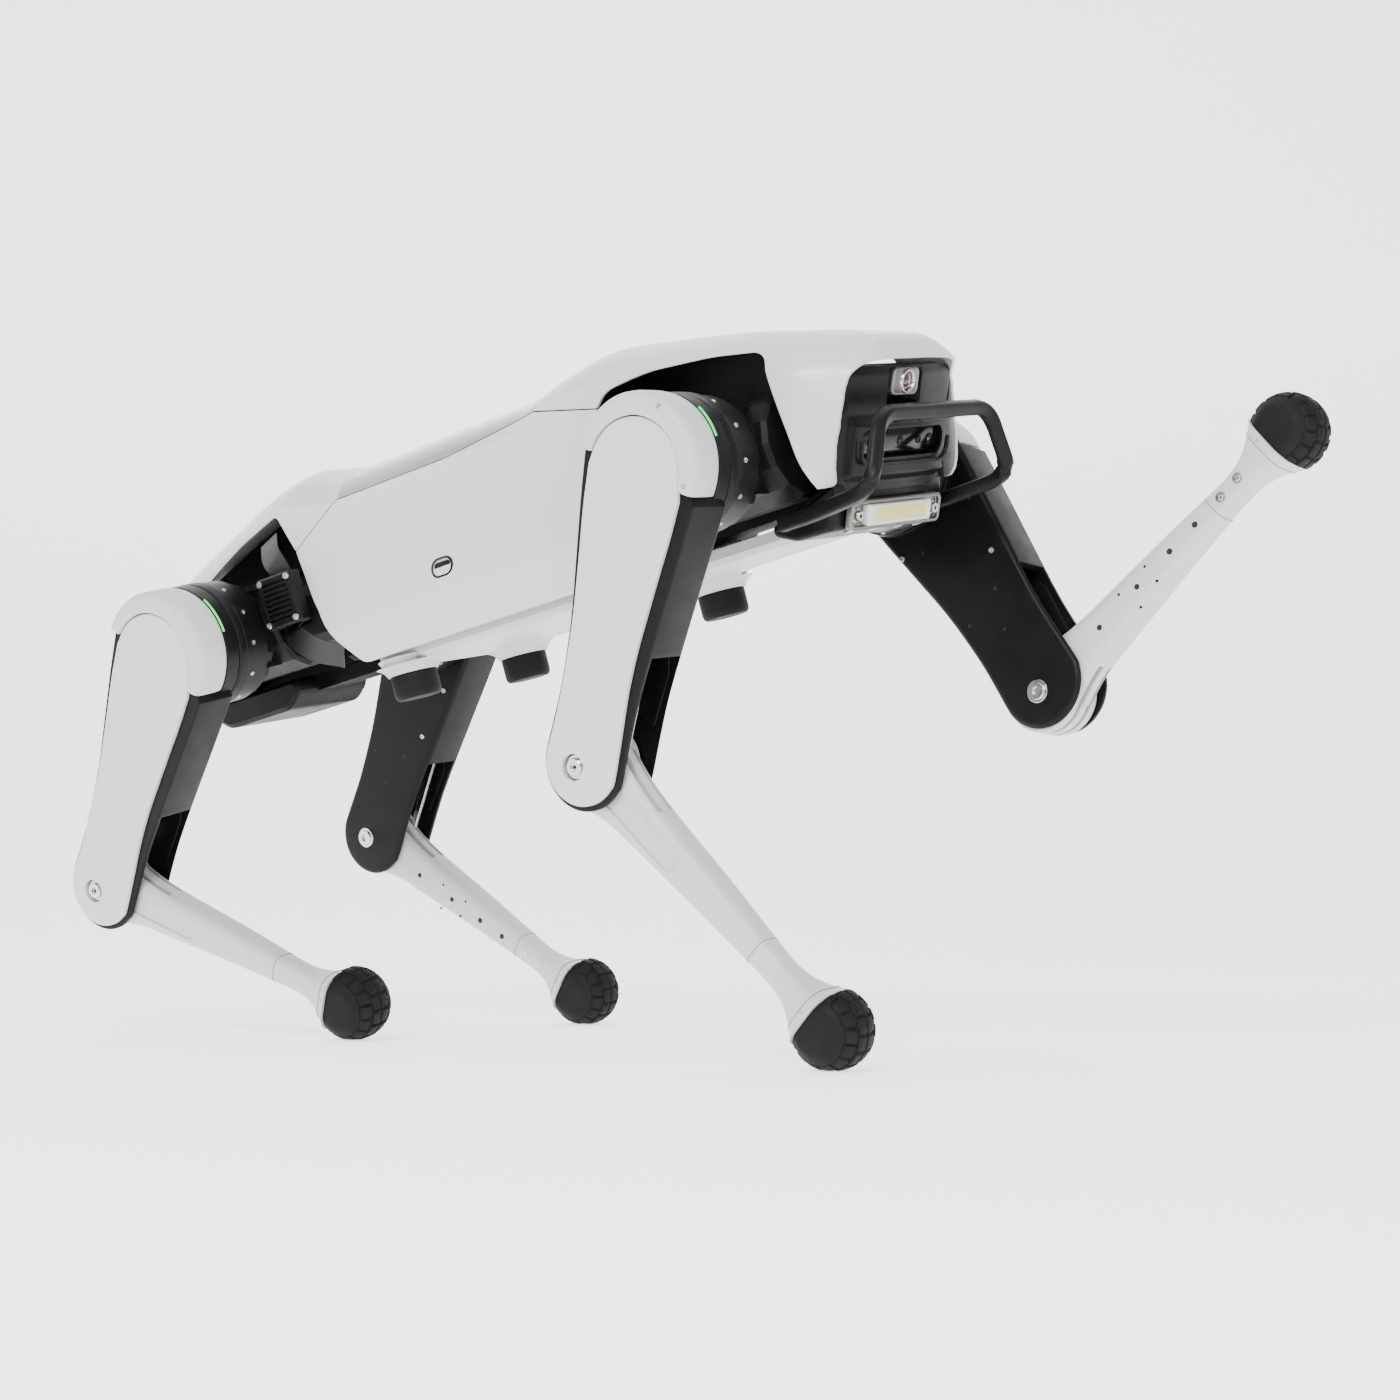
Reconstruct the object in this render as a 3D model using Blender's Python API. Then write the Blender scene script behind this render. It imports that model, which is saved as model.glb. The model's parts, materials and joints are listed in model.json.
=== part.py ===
"""Quadruped robot dog: a white-shelled body on four three-joint legs, one front leg raised.

World frame: +X is the heading, +Y the robot's left, +Z up, and the ground is z = 0.
Body frame: the same axes, tilted with the body, with z = 0 through the four hips.
Leg frames: x forward, z up along the limb at zero angle, and the outboard direction is
written as a positive offset for all four legs and mirrored for the right-hand ones.
"""

import math

import bmesh
import bpy
from mathutils import Matrix, Vector

MM = 0.001
GAP = 0.0003

# Stance of the body over the ground.
BODY_PITCH = math.radians(11.41)
BODY_ROLL = math.radians(9.28)
BODY_HEIGHT = 0.352
BODY_X = -0.09905
BODY_Y = -0.0147

# Hip, knee and foot layout.
HIP_X = 0.2305
ROLL_AXIS_Y = 0.0603
LEG_PLANE_Y = 0.1495
HIP_OFFSET = LEG_PLANE_Y - ROLL_AXIS_Y
THIGH_LENGTH = 0.200
SHANK_LENGTH = 0.2407
FOOT_RADIUS = 0.0266

# Leg widths, as offsets outboard of the leg plane.
FRAME_IN = -0.0179
FRAME_OUT = 0.0185
COVER_OUT = 0.0229
CAVITY_HALF = 0.0153
SHANK_HALF = 0.0140
BLADE_SLOTS = ((-0.0075, -0.0032), (0.0032, 0.0075))
ROD_SPAN = (0.0035, 0.0072)
CRANK_SPAN = (-0.0020, 0.0031)

# Hip drive and linkage.
DRUM_RADIUS = 0.0435
MOTOR_RADIUS = 0.0465
MOTOR_END = -0.0500
BRACKET_END = -0.0590
CAP_RADIUS = 0.0472
CAP_STEPS = 14
KNEE_DISC_RADIUS = 0.0275
KNEE_CAVITY_RADIUS = 0.0360
AXLE_RADIUS = 0.0055
CRANK_RADIUS = 0.0260
CRANK_LEAD = math.radians(15)
PIN_RADIUS = 0.0026
EYE_RADIUS = 0.0055

SKIN = 0.0030

# Each leg: side (+1 left), end (+1 front), roll, thigh and knee angles in degrees.
LEGS = {
    "fr": (-1, 1, -2.56, -30.64, 65.64),
    "fl": (1, 1, -13.19, 25.93, 96.12),
    "rr": (-1, -1, 3.79, -41.61, 99.41),
    "rl": (1, -1, -2.55, -37.49, 85.28),
}


# ---------------------------------------------------------------- scene helpers


def clear_scene():
    for obj in list(bpy.data.objects):
        bpy.data.objects.remove(obj, do_unlink=True)


def material(name, color, roughness, metallic=0.0):
    mat = bpy.data.materials.new(name)
    mat.use_nodes = True
    shader = mat.node_tree.nodes["Principled BSDF"]
    shader.inputs["Base Color"].default_value = (*color, 1)
    shader.inputs["Roughness"].default_value = roughness
    shader.inputs["Metallic"].default_value = metallic
    mat.diffuse_color = (*color, 1)
    return mat


def empty(name, parent=None, location=(0, 0, 0), rotation=(0, 0, 0)):
    obj = bpy.data.objects.new(name, None)
    obj.parent = parent
    obj.location = location
    obj.rotation_euler = rotation
    bpy.context.scene.collection.objects.link(obj)
    return obj


def add_object(name, bm, parent, mat, side=1, smooth=True):
    """Makes an object of the mesh. Side -1 mirrors it to the right-hand legs."""
    if side < 0:
        bmesh.ops.scale(bm, vec=(1, -1, 1), verts=bm.verts)
        bmesh.ops.reverse_faces(bm, faces=bm.faces)
    mesh = bpy.data.meshes.new(name)
    for face in bm.faces:
        face.smooth = smooth
    bm.to_mesh(mesh)
    bm.free()
    obj = bpy.data.objects.new(name, mesh)
    obj.parent = parent
    if mat:
        mesh.materials.append(mat)
        mesh.set_sharp_from_angle(angle=math.radians(32))
    bpy.context.scene.collection.objects.link(obj)
    return obj


def modify(obj, operation, bm, side=1):
    """Joins, cuts or trims the object with a hidden helper solid in the same frame."""
    tool = add_object(f"{obj.name}_tool", bm, obj.parent, None, side)
    tool.hide_render = True
    tool.display_type = "WIRE"
    modifier = obj.modifiers.new(operation.title(), "BOOLEAN")
    modifier.operation = operation
    modifier.solver = "EXACT"
    modifier.object = tool


# ---------------------------------------------------------------- outlines


def scaled(points):
    return [(x * MM, z * MM) for x, z in points]


def arc(center, radius, start, end, count):
    """Points along an arc, with the angles in degrees from +x towards +z."""
    step = (end - start) / (count - 1)
    angles = [math.radians(start + step * i) for i in range(count)]
    return [(center[0] + radius * math.cos(a), center[1] + radius * math.sin(a)) for a in angles]


def circle(center, radius, count):
    return arc(center, radius, 0, 360 * (count - 1) / count, count)


def rectangle(x0, x1, z0, z1):
    return [(x0, z0), (x1, z0), (x1, z1), (x0, z1)]


def area(points):
    pairs = zip(points, points[1:] + points[:1])
    return sum(a[0] * b[1] - b[0] * a[1] for a, b in pairs) / 2


def ccw(points):
    return points if area(points) > 0 else points[::-1]


def rounded(points, radius, steps=3):
    """The outline with each corner replaced by a short curve."""
    out = []
    for i, corner in enumerate(points):
        here = Vector(corner)
        before = Vector(points[i - 1]) - here
        after = Vector(points[(i + 1) % len(points)]) - here
        reach = min(radius, before.length * 0.45, after.length * 0.45)
        a = here + before.normalized() * reach
        b = here + after.normalized() * reach
        for k in range(steps + 1):
            t = k / steps
            out.append(tuple(a * (1 - t) ** 2 + here * 2 * t * (1 - t) + b * t * t))
    return out


def inset(points, distance):
    """The outline moved inwards by the distance."""
    points = ccw(points)
    out = []
    for i, corner in enumerate(points):
        here = Vector(corner)
        d0 = (here - Vector(points[i - 1])).normalized()
        d1 = (Vector(points[(i + 1) % len(points)]) - here).normalized()
        n0 = Vector((-d0.y, d0.x))
        n1 = Vector((-d1.y, d1.x))
        middle = (n0 + n1).normalized()
        out.append(tuple(here + middle * distance / max(middle.dot(n1), 0.5)))
    return out


# ---------------------------------------------------------------- solids


def swept_rings(rings, closed=False):
    """A solid through rings of equal length; the first and last are capped unless closed."""
    bm = bmesh.new()
    made = [[bm.verts.new(p) for p in ring] for ring in rings]
    count = len(rings[0])
    spans = list(zip(made, made[1:]))
    if closed:
        spans.append((made[-1], made[0]))
    for a, b in spans:
        for i in range(count):
            j = (i + 1) % count
            bm.faces.new((a[i], a[j], b[j], b[i]))
    if not closed:
        bm.faces.new(made[0][::-1])
        bm.faces.new(made[-1])
    bmesh.ops.recalc_face_normals(bm, faces=bm.faces)
    if bm.calc_volume(signed=True) < 0:
        bmesh.ops.reverse_faces(bm, faces=bm.faces)
    return bm


def prism(outline, low, high, bevel_low=0.0, bevel_high=0.0):
    """An outline in x and z, extruded along y, with its end edges bevelled."""
    outline = ccw(outline)
    levels = [(low, bevel_low)]
    if bevel_low:
        levels.append((low + bevel_low, 0))
    if bevel_high:
        levels.append((high - bevel_high, 0))
    levels.append((high, bevel_high))
    rings = []
    for y, by in levels:
        ring = inset(outline, by) if by else outline
        rings.append([(x, y, z) for x, z in ring])
    return swept_rings(rings)


def turned(profile, center, axis, count=28):
    """A solid of (radius, height) points turned about an axis through the centre."""
    unit = {"x": Vector((1, 0, 0)), "y": Vector((0, 1, 0)), "z": Vector((0, 0, 1))}
    along = unit[axis]
    u, v = (unit[name] for name in "xyz" if name != axis)
    rings = []
    for radius, height in profile:
        ring = []
        for i in range(count):
            a = 2 * math.pi * i / count
            radial = u * math.cos(a) + v * math.sin(a)
            ring.append(Vector(center) + radial * radius + along * height)
        rings.append(ring)
    return swept_rings(rings)


def box(x0, x1, y0, y1, z0, z1, bevel=0.0):
    bm = prism(rectangle(x0, x1, z0, z1), y0, y1)
    if bevel:
        bmesh.ops.bevel(bm, geom=bm.edges, offset=bevel, segments=1, affect="EDGES")
    return bm


def move(bm, offset, turn=0.0, axis="Y"):
    if turn:
        bmesh.ops.rotate(bm, cent=(0, 0, 0), matrix=Matrix.Rotation(turn, 3, axis), verts=bm.verts)
    bmesh.ops.translate(bm, vec=offset, verts=bm.verts)
    return bm


# ---------------------------------------------------------------- body skin

# Stations along the body: x, top height and half width, in mm.
STATIONS = (
    (-330, 49, 52), (-318, 60, 60), (-290, 69, 69), (-259, 77, 77), (-215, 88, 85), (-184, 97, 88),
    (-153, 102, 90), (-128, 97, 90), (-103, 93, 90), (-30, 93, 91), (60, 93, 91), (84, 95, 91),
    (108, 101, 90), (143, 105, 89), (180, 99, 88), (225, 90, 87), (262, 81, 86), (300, 69, 85),
    (326, 60, 83), (339, 54, 80), (344, 47, 77), (345.5, 37, 74),
)
# Half section: fraction of the half width, and drop below the top, in mm.
SHOULDER = ((0, 0), (0.4, 0), (0.62, 4.5), (0.8, 11.5), (0.92, 22), (0.97, 33))
# Lower half section: fraction of the half width, and height, in mm.
FLANK = ((1.03, 6), (1.09, -22), (0.95, -51))

# The front edge of the hood, which leans with the face, and the taper towards it.
EDGE_X = 0.3205
EDGE_LEAN = 0.34
TAPER = 0.18
TAPER_LENGTH = 0.045
TAPER_POWER = 1.8

# Side-view outlines of the shell pieces, in mm.
PANEL_OUTLINE = (
    (-101, 69), (8, 69), (90, 78), (148, 63), (141, 30), (131, -15), (116, -50), (-112, -50), (-124, -30),
    (-140, 5), (-148, 43),
)
DECK_OUTLINE = ((-101, 69), (8, 69), (90, 78), (84, 130), (-101, 130))
FRONT_OUTLINE = (
    (84, 130), (90, 78), (148, 63), (157, 72), (192, 75), (240, 70), (274, 63), (281, 57), (297, -35),
    (308, -36), (320.5, 0), (331, 30), (344, 37), (350, 130),
)
REAR_OUTLINE = (
    (-101, 130), (-101, 69), (-148, 43), (-162, 73), (-205, 62), (-246, 49), (-283, 36), (-345, 22),
    (-345, 130),
)
SHELL_REACH = 0.2
PANEL_CORNER = 6


def half_section(station):
    _, top, half = station
    upper = [(f * half, top - drop) for f, drop in SHOULDER]
    lowest = upper[-1][1] - 4
    return upper + [(f * half, min(z, lowest - 3 * i)) for i, (f, z) in enumerate(FLANK)]


def tapered(point):
    """The point drawn in towards the middle near the front edge of the hood."""
    behind = EDGE_X + EDGE_LEAN * point.z - point.x
    near = min(max(1 - behind / TAPER_LENGTH, 0), 1)
    return Vector((point.x, point.y * (1 - TAPER * near ** TAPER_POWER), point.z))


def skin_grid(inward):
    """Rows of points over the body from right to left, moved inwards by the distance."""
    rows = []
    for station in STATIONS:
        half = [Vector((station[0], y, z)) for y, z in half_section(station)]
        right = [Vector((p.x, -p.y, p.z)) for p in half[:0:-1]]
        rows.append([tapered(p * MM) for p in right + half])
    if not inward:
        return rows
    moved = []
    for i, row in enumerate(rows):
        out = []
        for j, point in enumerate(row):
            along = rows[min(i + 1, len(rows) - 1)][j] - rows[max(i - 1, 0)][j]
            across = row[min(j + 1, len(row) - 1)] - row[max(j - 1, 0)]
            out.append(point - along.cross(across).normalized() * inward)
        moved.append(out)
    return moved


def body_skin():
    """The whole white shell of the body, which each panel is trimmed from."""
    rings = [outer + inner[::-1] for outer, inner in zip(skin_grid(0), skin_grid(SKIN))]
    return swept_rings(rings)


def panel(name, outline, y0, y1, parent, mat):
    """The part of the body skin inside a side-view outline, held off its neighbours."""
    obj = add_object(name, body_skin(), parent, mat)
    modify(obj, "INTERSECT", prism(inset(scaled(outline), GAP / 2), y0, y1))
    return obj


def body_panels(body, mats):
    reach = SHELL_REACH
    middle = 0.01
    side = rounded(PANEL_OUTLINE, PANEL_CORNER, 2)
    panel("side_panel_left", side, middle, reach, body, mats["white"])
    panel("side_panel_right", side, -reach, -middle, body, mats["white"])
    panel("top_deck", DECK_OUTLINE, -reach, reach, body, mats["deck"])
    panel("front_hood", FRONT_OUTLINE, -reach, reach, body, mats["white"])
    panel("rear_hood", REAR_OUTLINE, -reach, reach, body, mats["white"])


# ---------------------------------------------------------------- body structure


# Side view of the spine through the arches, just under the hoods, in mm.
SPINE_OUTLINE = (
    (-322, -38), (-322, 48), (-259, 68), (-184, 88), (-153, 93), (-125, 87), (84, 86), (143, 96), (180, 90),
    (262, 72), (282, 64), (282, -38),
)


def chassis(body, mats):
    """The black tub: a centre block, a spine through both arches, bulkheads and roll drives."""
    tub = box(-0.136, 0.122, -0.078, 0.078, -0.044, 0.058, 0.004)
    obj = add_object("chassis", tub, body, mats["black"])
    modify(obj, "UNION", prism(scaled(SPINE_OUTLINE), -0.019, 0.019))
    for end in (-1, 1):
        plate = sorted((end * 0.2812, end * 0.2848))
        modify(obj, "UNION", box(*plate, -0.056, 0.056, -0.034, 0.033, 0.001))
        for side in (-1, 1):
            start, stop = sorted((end * 0.110, end * (HIP_X - 0.0506)))
            drive = turned([(0.0285, start), (0.0285, stop - 0.002), (0.0265, stop)],
                           (0, side * ROLL_AXIS_Y, 0), "x", 18)
            modify(obj, "UNION", drive)
    modify(obj, "UNION", box(-0.328, -0.2840, -0.048, 0.048, -0.036, 0.020, 0.004))


PAD_PLACES = ((-0.090, "rear"), (0.102, "front"))
PAD_Y = 0.062


def belly_tray(body, mats):
    """The white pan under the body with a rail to the chin and a boss over each rubber pad."""
    plan = [(-112, -74), (120, -74), (140, -44), (243, -40), (243, 40), (140, 44), (120, 74), (-112, 74)]
    bm = prism(rounded(scaled(plan), 0.010, 2), 0.0, 0.011, 0.004, 0.0)
    bmesh.ops.rotate(bm, cent=(0, 0, 0), matrix=Matrix.Rotation(math.radians(90), 3, "X"), verts=bm.verts)
    move(bm, (0, 0, -0.0575))
    obj = add_object("belly_tray", bm, body, mats["white"])
    for x, end in PAD_PLACES:
        for side, name in ((-1, "right"), (1, "left")):
            center = (x, side * PAD_Y, 0)
            boss = turned([(0.0235, -0.052), (0.020, -0.058), (0.0175, -0.0645)], center, "z", 10)
            modify(obj, "UNION", boss)
            pad = turned([(0.0172, -0.0648), (0.0172, -0.080), (0.0145, -0.083)], center, "z", 14)
            add_object(f"belly_pad_{end}_{name}", pad, body, mats["rubber"])


SENSOR_PROFILE = ((-322, -38.7), (-322, -50), (-308, -60), (-242, -60), (-228, -50), (-228, -38.7))


def sensor_box(body, mats):
    """The box under the tail, with a bar that joins it to the tub."""
    profile = rounded(scaled(SENSOR_PROFILE), 0.005)
    obj = add_object("sensor_box", prism(profile, -0.040, 0.040, 0.003, 0.003), body, mats["black"])
    modify(obj, "UNION", box(-0.310, -0.150, -0.016, 0.016, -0.0500, -0.0386))


def fan_module(body, mats):
    """The finned cooler on a bracket beside the right rear hip drive."""
    x0, x1, y1, z0, z1 = -0.1795, -0.1440, -0.0930, -0.008, 0.030
    obj = add_object("fan_module", box(x0, x1, y1 - 0.012, y1, z0, z1, 0.0015), body, mats["black"])
    fins = 8
    pitch = (z1 - z0 - 0.008) / fins
    for i in range(fins):
        z = z0 + 0.004 + pitch * i
        groove = box(x0 + 0.005, x1 - 0.005, y1 - 0.014, y1 - 0.009, z + 0.0008, z + pitch - 0.0008)
        modify(obj, "DIFFERENCE", groove)


# ---------------------------------------------------------------- head

FACE_X = 0.3265
FACE_LEAN = 0.47
FACE_TURN = math.atan(FACE_LEAN)
# Mask rings from the back to the front: depth along the face normal and half width.
MASK_RINGS = ((-0.0165, 0.0660), (-0.0085, 0.0640), (-0.0030, 0.0550))
MASK_LOW = -0.044
MASK_HIGH = 0.0335
MASK_CORNER = 0.020
SNOUT_HEIGHT = -0.014
STEREO_HEIGHT = -0.012
CHIN_OUTLINE = ((246, -47), (246, -54), (262, -61), (292, -62), (299, -44), (303, -32), (291, -32), (288, -41))
CHIN_HALF = 0.066
LIGHT_HEIGHT = -0.0550
LIGHT_HALF = 0.054
LIGHT_BOLT_Y = 0.0455
CAMERA_HEIGHT = 0.0225
CAMERA_DEPTH = -0.005
CAMERA_TURN = math.radians(-10)


def face_place(bm, height):
    """Moves a piece made around the origin, facing +x, onto the leaning face."""
    return move(bm, (FACE_X + FACE_LEAN * height, 0, height), FACE_TURN)


def face_block(depth0, depth1, half, z0, z1, radius, steps=3):
    """A block with rounded corners seen from the front, between two depths along +x."""
    outline = rounded([(-half, z0), (half, z0), (half, z1), (-half, z1)], radius, steps)
    return swept_rings([[(depth, y, z) for y, z in outline] for depth in (depth0, depth1)])


def camera_place(bm):
    """Moves a piece made around the origin, facing +x, to the head camera, which looks up a little."""
    center = (FACE_X + FACE_LEAN * CAMERA_HEIGHT + CAMERA_DEPTH, 0, CAMERA_HEIGHT)
    return move(bm, center, CAMERA_TURN)


def face_panel(body, mats):
    """The black mask with a snout round the stereo camera, a niche above it, and the chin."""
    rings = []
    for depth, half in MASK_RINGS:
        corners = [(-half, MASK_LOW), (half, MASK_LOW), (half, MASK_HIGH), (-half, MASK_HIGH)]
        rings.append([(depth, y, z) for y, z in rounded(corners, MASK_CORNER)])
    obj = add_object("face_panel", face_place(swept_rings(rings), 0.0), body, mats["face"])
    snout = face_block(-0.014, 0.001, 0.060, -0.024, 0.012, 0.010)
    modify(obj, "UNION", face_place(snout, SNOUT_HEIGHT))
    chin = rounded(scaled(CHIN_OUTLINE), 0.004, 2)
    modify(obj, "UNION", prism(chin, -CHIN_HALF, CHIN_HALF, 0.003, 0.003))
    niche = face_block(-0.0085, 0.020, 0.0195, -0.0130, 0.0120, 0.004)
    modify(obj, "DIFFERENCE", camera_place(niche))
    window = face_block(-0.010, 0.010, 0.0500, -0.0095, 0.0095, 0.008)
    modify(obj, "DIFFERENCE", face_place(window, STEREO_HEIGHT))


def cameras(body, mats):
    """The head camera in its niche, and the stereo camera bar in the snout."""
    bezel = face_block(-0.0082, 0.0, 0.0155, -0.0092, 0.0092, 0.005)
    obj = add_object("head_camera", camera_place(bezel), body, mats["silver"])
    eye = turned([(0.0080, -0.004), (0.0080, 0.0010), (0.0066, 0.0022)], (0, 0, 0), "x", 24)
    modify(obj, "UNION", camera_place(eye))
    stereo = face_block(-0.0097, -0.0030, 0.0495, -0.0090, 0.0090, 0.0078)
    add_object("stereo_camera", face_place(stereo, STEREO_HEIGHT), body, mats["glass"])


def light_bar(body, mats):
    """The work light: a bracket plate under the chin with the lamp and two bolts on it."""
    plate = face_block(-0.0035, -0.0005, LIGHT_HALF, -0.0098, 0.0098, 0.005)
    obj = add_object("light_bar", face_place(plate, LIGHT_HEIGHT), body, mats["silver"])
    lamp = face_block(-0.0015, 0.0050, 0.0375, -0.0075, 0.0075, 0.002)
    modify(obj, "UNION", face_place(lamp, LIGHT_HEIGHT))
    for side in (-1, 1):
        center = (0, side * LIGHT_BOLT_Y, 0)
        bolt = turned([(0.0045, -0.0020), (0.0045, 0.0035), (0.0038, 0.0042)], center, "x", 14)
        modify(obj, "UNION", face_place(bolt, LIGHT_HEIGHT))


def smooth_path(points, corner, steps):
    """The path with each inner point replaced by a curve."""
    out = [points[0]]
    for before, here, after in zip(points, points[1:], points[2:]):
        a = here + (before - here).normalized() * corner
        b = here + (after - here).normalized() * corner
        for k in range(steps + 1):
            t = k / steps
            out.append(a * (1 - t) ** 2 + here * 2 * t * (1 - t) + b * t * t)
    return out + [points[-1]]


# The left half of the handle's centre line, from its foot to the top corner.
HANDLE_HALF = (
    (0.262, 0.0745, -0.0485), (0.289, 0.0780, -0.0490), (0.342, 0.0860, -0.0460), (0.349, 0.0667, 0.0000),
)
HANDLE_RADIUS = 0.0054


def bumper_handle(body, mats):
    """The tube loop in front of the face, from one side of the chin to the other."""
    half = [Vector(p) for p in HANDLE_HALF]
    right = [Vector((p.x, -p.y, p.z)) for p in half]
    path = smooth_path(right + half[::-1], 0.012, 3)
    count = 8
    rings = []
    for i, here in enumerate(path):
        along = (path[min(i + 1, len(path) - 1)] - path[max(i - 1, 0)]).normalized()
        side = along.cross(Vector((0.6, 0, 1))).normalized()
        up = side.cross(along)
        angles = [2 * math.pi * k / count for k in range(count)]
        rings.append([here + (side * math.cos(a) + up * math.sin(a)) * HANDLE_RADIUS for a in angles])
    add_object("bumper_handle", swept_rings(rings), body, mats["black"])


# ---------------------------------------------------------------- leg outlines

# The rear and front edges of the thigh and of its cover, in mm.
FRAME_REAR = (
    (-44, -2), (-40, -33), (-34, -72), (-28.5, -110), (-26, -150), (-26.5, -175), (-27.5, -190),
)
FRAME_FRONT = (
    (36.5, -192), (36, -165), (36.5, -142), (39, -112), (43, -72), (47, -32), (48.5, -12), (43.2, -10),
)
COVER_REAR = ((-36.4, -8), (-34, -36), (-29, -72), (-24.5, -110), (-22.6, -150), (-22.8, -175), (-24, -190))
COVER_FRONT = (
    (32.7, -192), (31, -167), (29.5, -142), (29.8, -115), (31.8, -90), (34.3, -62), (36.8, -36), (38, -14),
)
COVER_ARC_CENTER = (0, -5)
COVER_ARC_RADIUS = 35.7


def frame_outline():
    """The thigh from the side: the drum, the tapering arm and the round knee end."""
    bottom = arc((4.5, -195.5), 32.2, 170, 357, 9)
    drum = arc((0, 0), DRUM_RADIUS / MM, -12, 176, 12)
    return scaled(list(FRAME_REAR) + bottom + list(FRAME_FRONT)[1:] + drum)


def cover_outline():
    bottom = arc((4.4, -195.5), 28.5, 168, 358, 9)
    top = arc(COVER_ARC_CENTER, COVER_ARC_RADIUS, 2, 178, 11)
    return scaled(list(COVER_REAR) + bottom + list(COVER_FRONT)[1:] + top)


# ---------------------------------------------------------------- legs


def hip_bracket(leg, frame, side, mats):
    """The knuckle that rolls about the body's x axis and carries the hip motor."""
    plate = turned([(0.041, 0), (0.043, 0.002), (0.043, 0.009)], (0, HIP_OFFSET + BRACKET_END, 0), "y", 14)
    obj = add_object(f"hip_bracket_{leg}", plate, frame, mats["black"], side)
    profile = [(0.034, -0.050), (0.0365, -0.047), (0.0365, 0.047), (0.034, 0.050)]
    modify(obj, "UNION", turned(profile, (0, 0, 0), "x", 14), side)
    arm = box(-0.034, 0.034, 0.004, HIP_OFFSET + BRACKET_END + 0.005, -0.029, 0.029)
    modify(obj, "UNION", arm, side)


def hip_motor(leg, frame, side, mats):
    """The stepped motor housing between the bracket and the thigh."""
    start = HIP_OFFSET + MOTOR_END + GAP
    stop = HIP_OFFSET + FRAME_IN - 0.0005
    step = HIP_OFFSET - 0.0300
    profile = [
        (0.0430, start), (0.0450, start + 0.002), (0.0450, step - 0.001),
        (MOTOR_RADIUS, step), (MOTOR_RADIUS, stop),
    ]
    add_object(f"hip_motor_{leg}", turned(profile, (0, 0, 0), "y", 20), frame, mats["motor"], side)


def thigh_frame(leg, frame, side, mats):
    """The hollow black thigh, open towards the shank and, under the cover, outboard."""
    outline = frame_outline()
    solid = prism(outline, FRAME_IN, FRAME_OUT, 0.0022, 0.0)
    obj = add_object(f"thigh_frame_{leg}", solid, frame, mats["frame"], side)
    knee = (0, -THIGH_LENGTH)
    upper = [p for p in inset(outline, 0.0045) if p[1] > -0.140]
    modify(obj, "DIFFERENCE", prism(upper, -CAVITY_HALF, CAVITY_HALF), side)
    slot = scaled([(-16, -105), (22, -105), (33, -116), (80, -111), (80, -240), (0, -240), (-16, -200)])
    modify(obj, "DIFFERENCE", prism(slot, -CAVITY_HALF, CAVITY_HALF), side)
    hollow = circle(knee, KNEE_CAVITY_RADIUS, 22)
    modify(obj, "DIFFERENCE", prism(hollow, -CAVITY_HALF, CAVITY_HALF), side)
    modify(obj, "DIFFERENCE", prism(circle((0, 0), 0.029, 12), 0.010, 0.030), side)
    modify(obj, "DIFFERENCE", prism(rectangle(-0.013, 0.018, -0.150, -0.010), 0.010, 0.030), side)
    modify(obj, "DIFFERENCE", prism(circle(knee, AXLE_RADIUS + GAP, 12), -0.030, 0.030), side)


def thigh_cover(leg, frame, side, mats):
    """The white outer cover with a hole over the knee bolt."""
    solid = prism(cover_outline(), FRAME_OUT + GAP, COVER_OUT, 0.0, 0.0016)
    obj = add_object(f"thigh_cover_{leg}", solid, frame, mats["white"], side)
    modify(obj, "DIFFERENCE", prism(circle((0, -THIGH_LENGTH), 0.0086, 14), 0.010, 0.030), side)


def thigh_cap(leg, frame, side, mats):
    """The white cap round the top of the drum, ending at a step at each side."""
    rings = []
    center_z = COVER_ARC_CENTER[1] * MM
    reach = (COVER_ARC_RADIUS + 0.8) * MM
    for i in range(CAP_STEPS + 1):
        angle = math.radians(-10 + 190 * i / CAP_STEPS)
        c, s = math.cos(angle), math.sin(angle)
        inner = center_z * s + math.sqrt(reach ** 2 - (center_z * c) ** 2)
        low = FRAME_OUT + GAP
        section = [
            (inner, low), (inner, COVER_OUT), (0.0425, COVER_OUT + 0.0006),
            (0.0455, COVER_OUT - 0.0018), (CAP_RADIUS, 0.0160), (CAP_RADIUS, 0.0020), (0.0464, -0.0050),
            (DRUM_RADIUS + GAP, -0.0050), (DRUM_RADIUS + GAP, low),
        ]
        rings.append([(r * c, y, r * s) for r, y in section])
    add_object(f"thigh_cap_{leg}", swept_rings(rings), frame, mats["cap"], side)


def knee_axle(leg, frame, side, mats):
    """The steel knee pin with a round head on each side."""
    inner = FRAME_IN - 0.0003
    outer = FRAME_OUT + 0.0003
    profile = [(0.0066, inner - 0.0022), (0.0080, inner - 0.0014), (0.0080, inner), (AXLE_RADIUS, inner),
               (AXLE_RADIUS, outer), (0.0070, outer), (0.0070, outer + 0.0020), (0.0058, outer + 0.0030)]
    axle = turned(profile, (0, 0, -THIGH_LENGTH), "y", 12)
    add_object(f"knee_axle_{leg}", axle, frame, mats["steel"], side)


def knee_crank(leg, frame, side, mats):
    """The crank inside the drum, in line with the shank's lug."""
    lever = circle((0, 0), 0.0095, 12)
    obj = add_object(f"knee_crank_{leg}", prism(lever, -0.0150, CRANK_SPAN[1]), frame, mats["steel"], side)
    arm = [(-0.0058, 0.0), (-0.0046, -CRANK_RADIUS - 0.004), (0.0046, -CRANK_RADIUS - 0.004), (0.0058, 0.0)]
    modify(obj, "UNION", prism(rounded(arm, 0.003, 2), *CRANK_SPAN), side)
    pin = circle((0, -CRANK_RADIUS), PIN_RADIUS, 12)
    modify(obj, "UNION", prism(pin, 0.0005, ROD_SPAN[1] + 0.0004), side)


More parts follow.
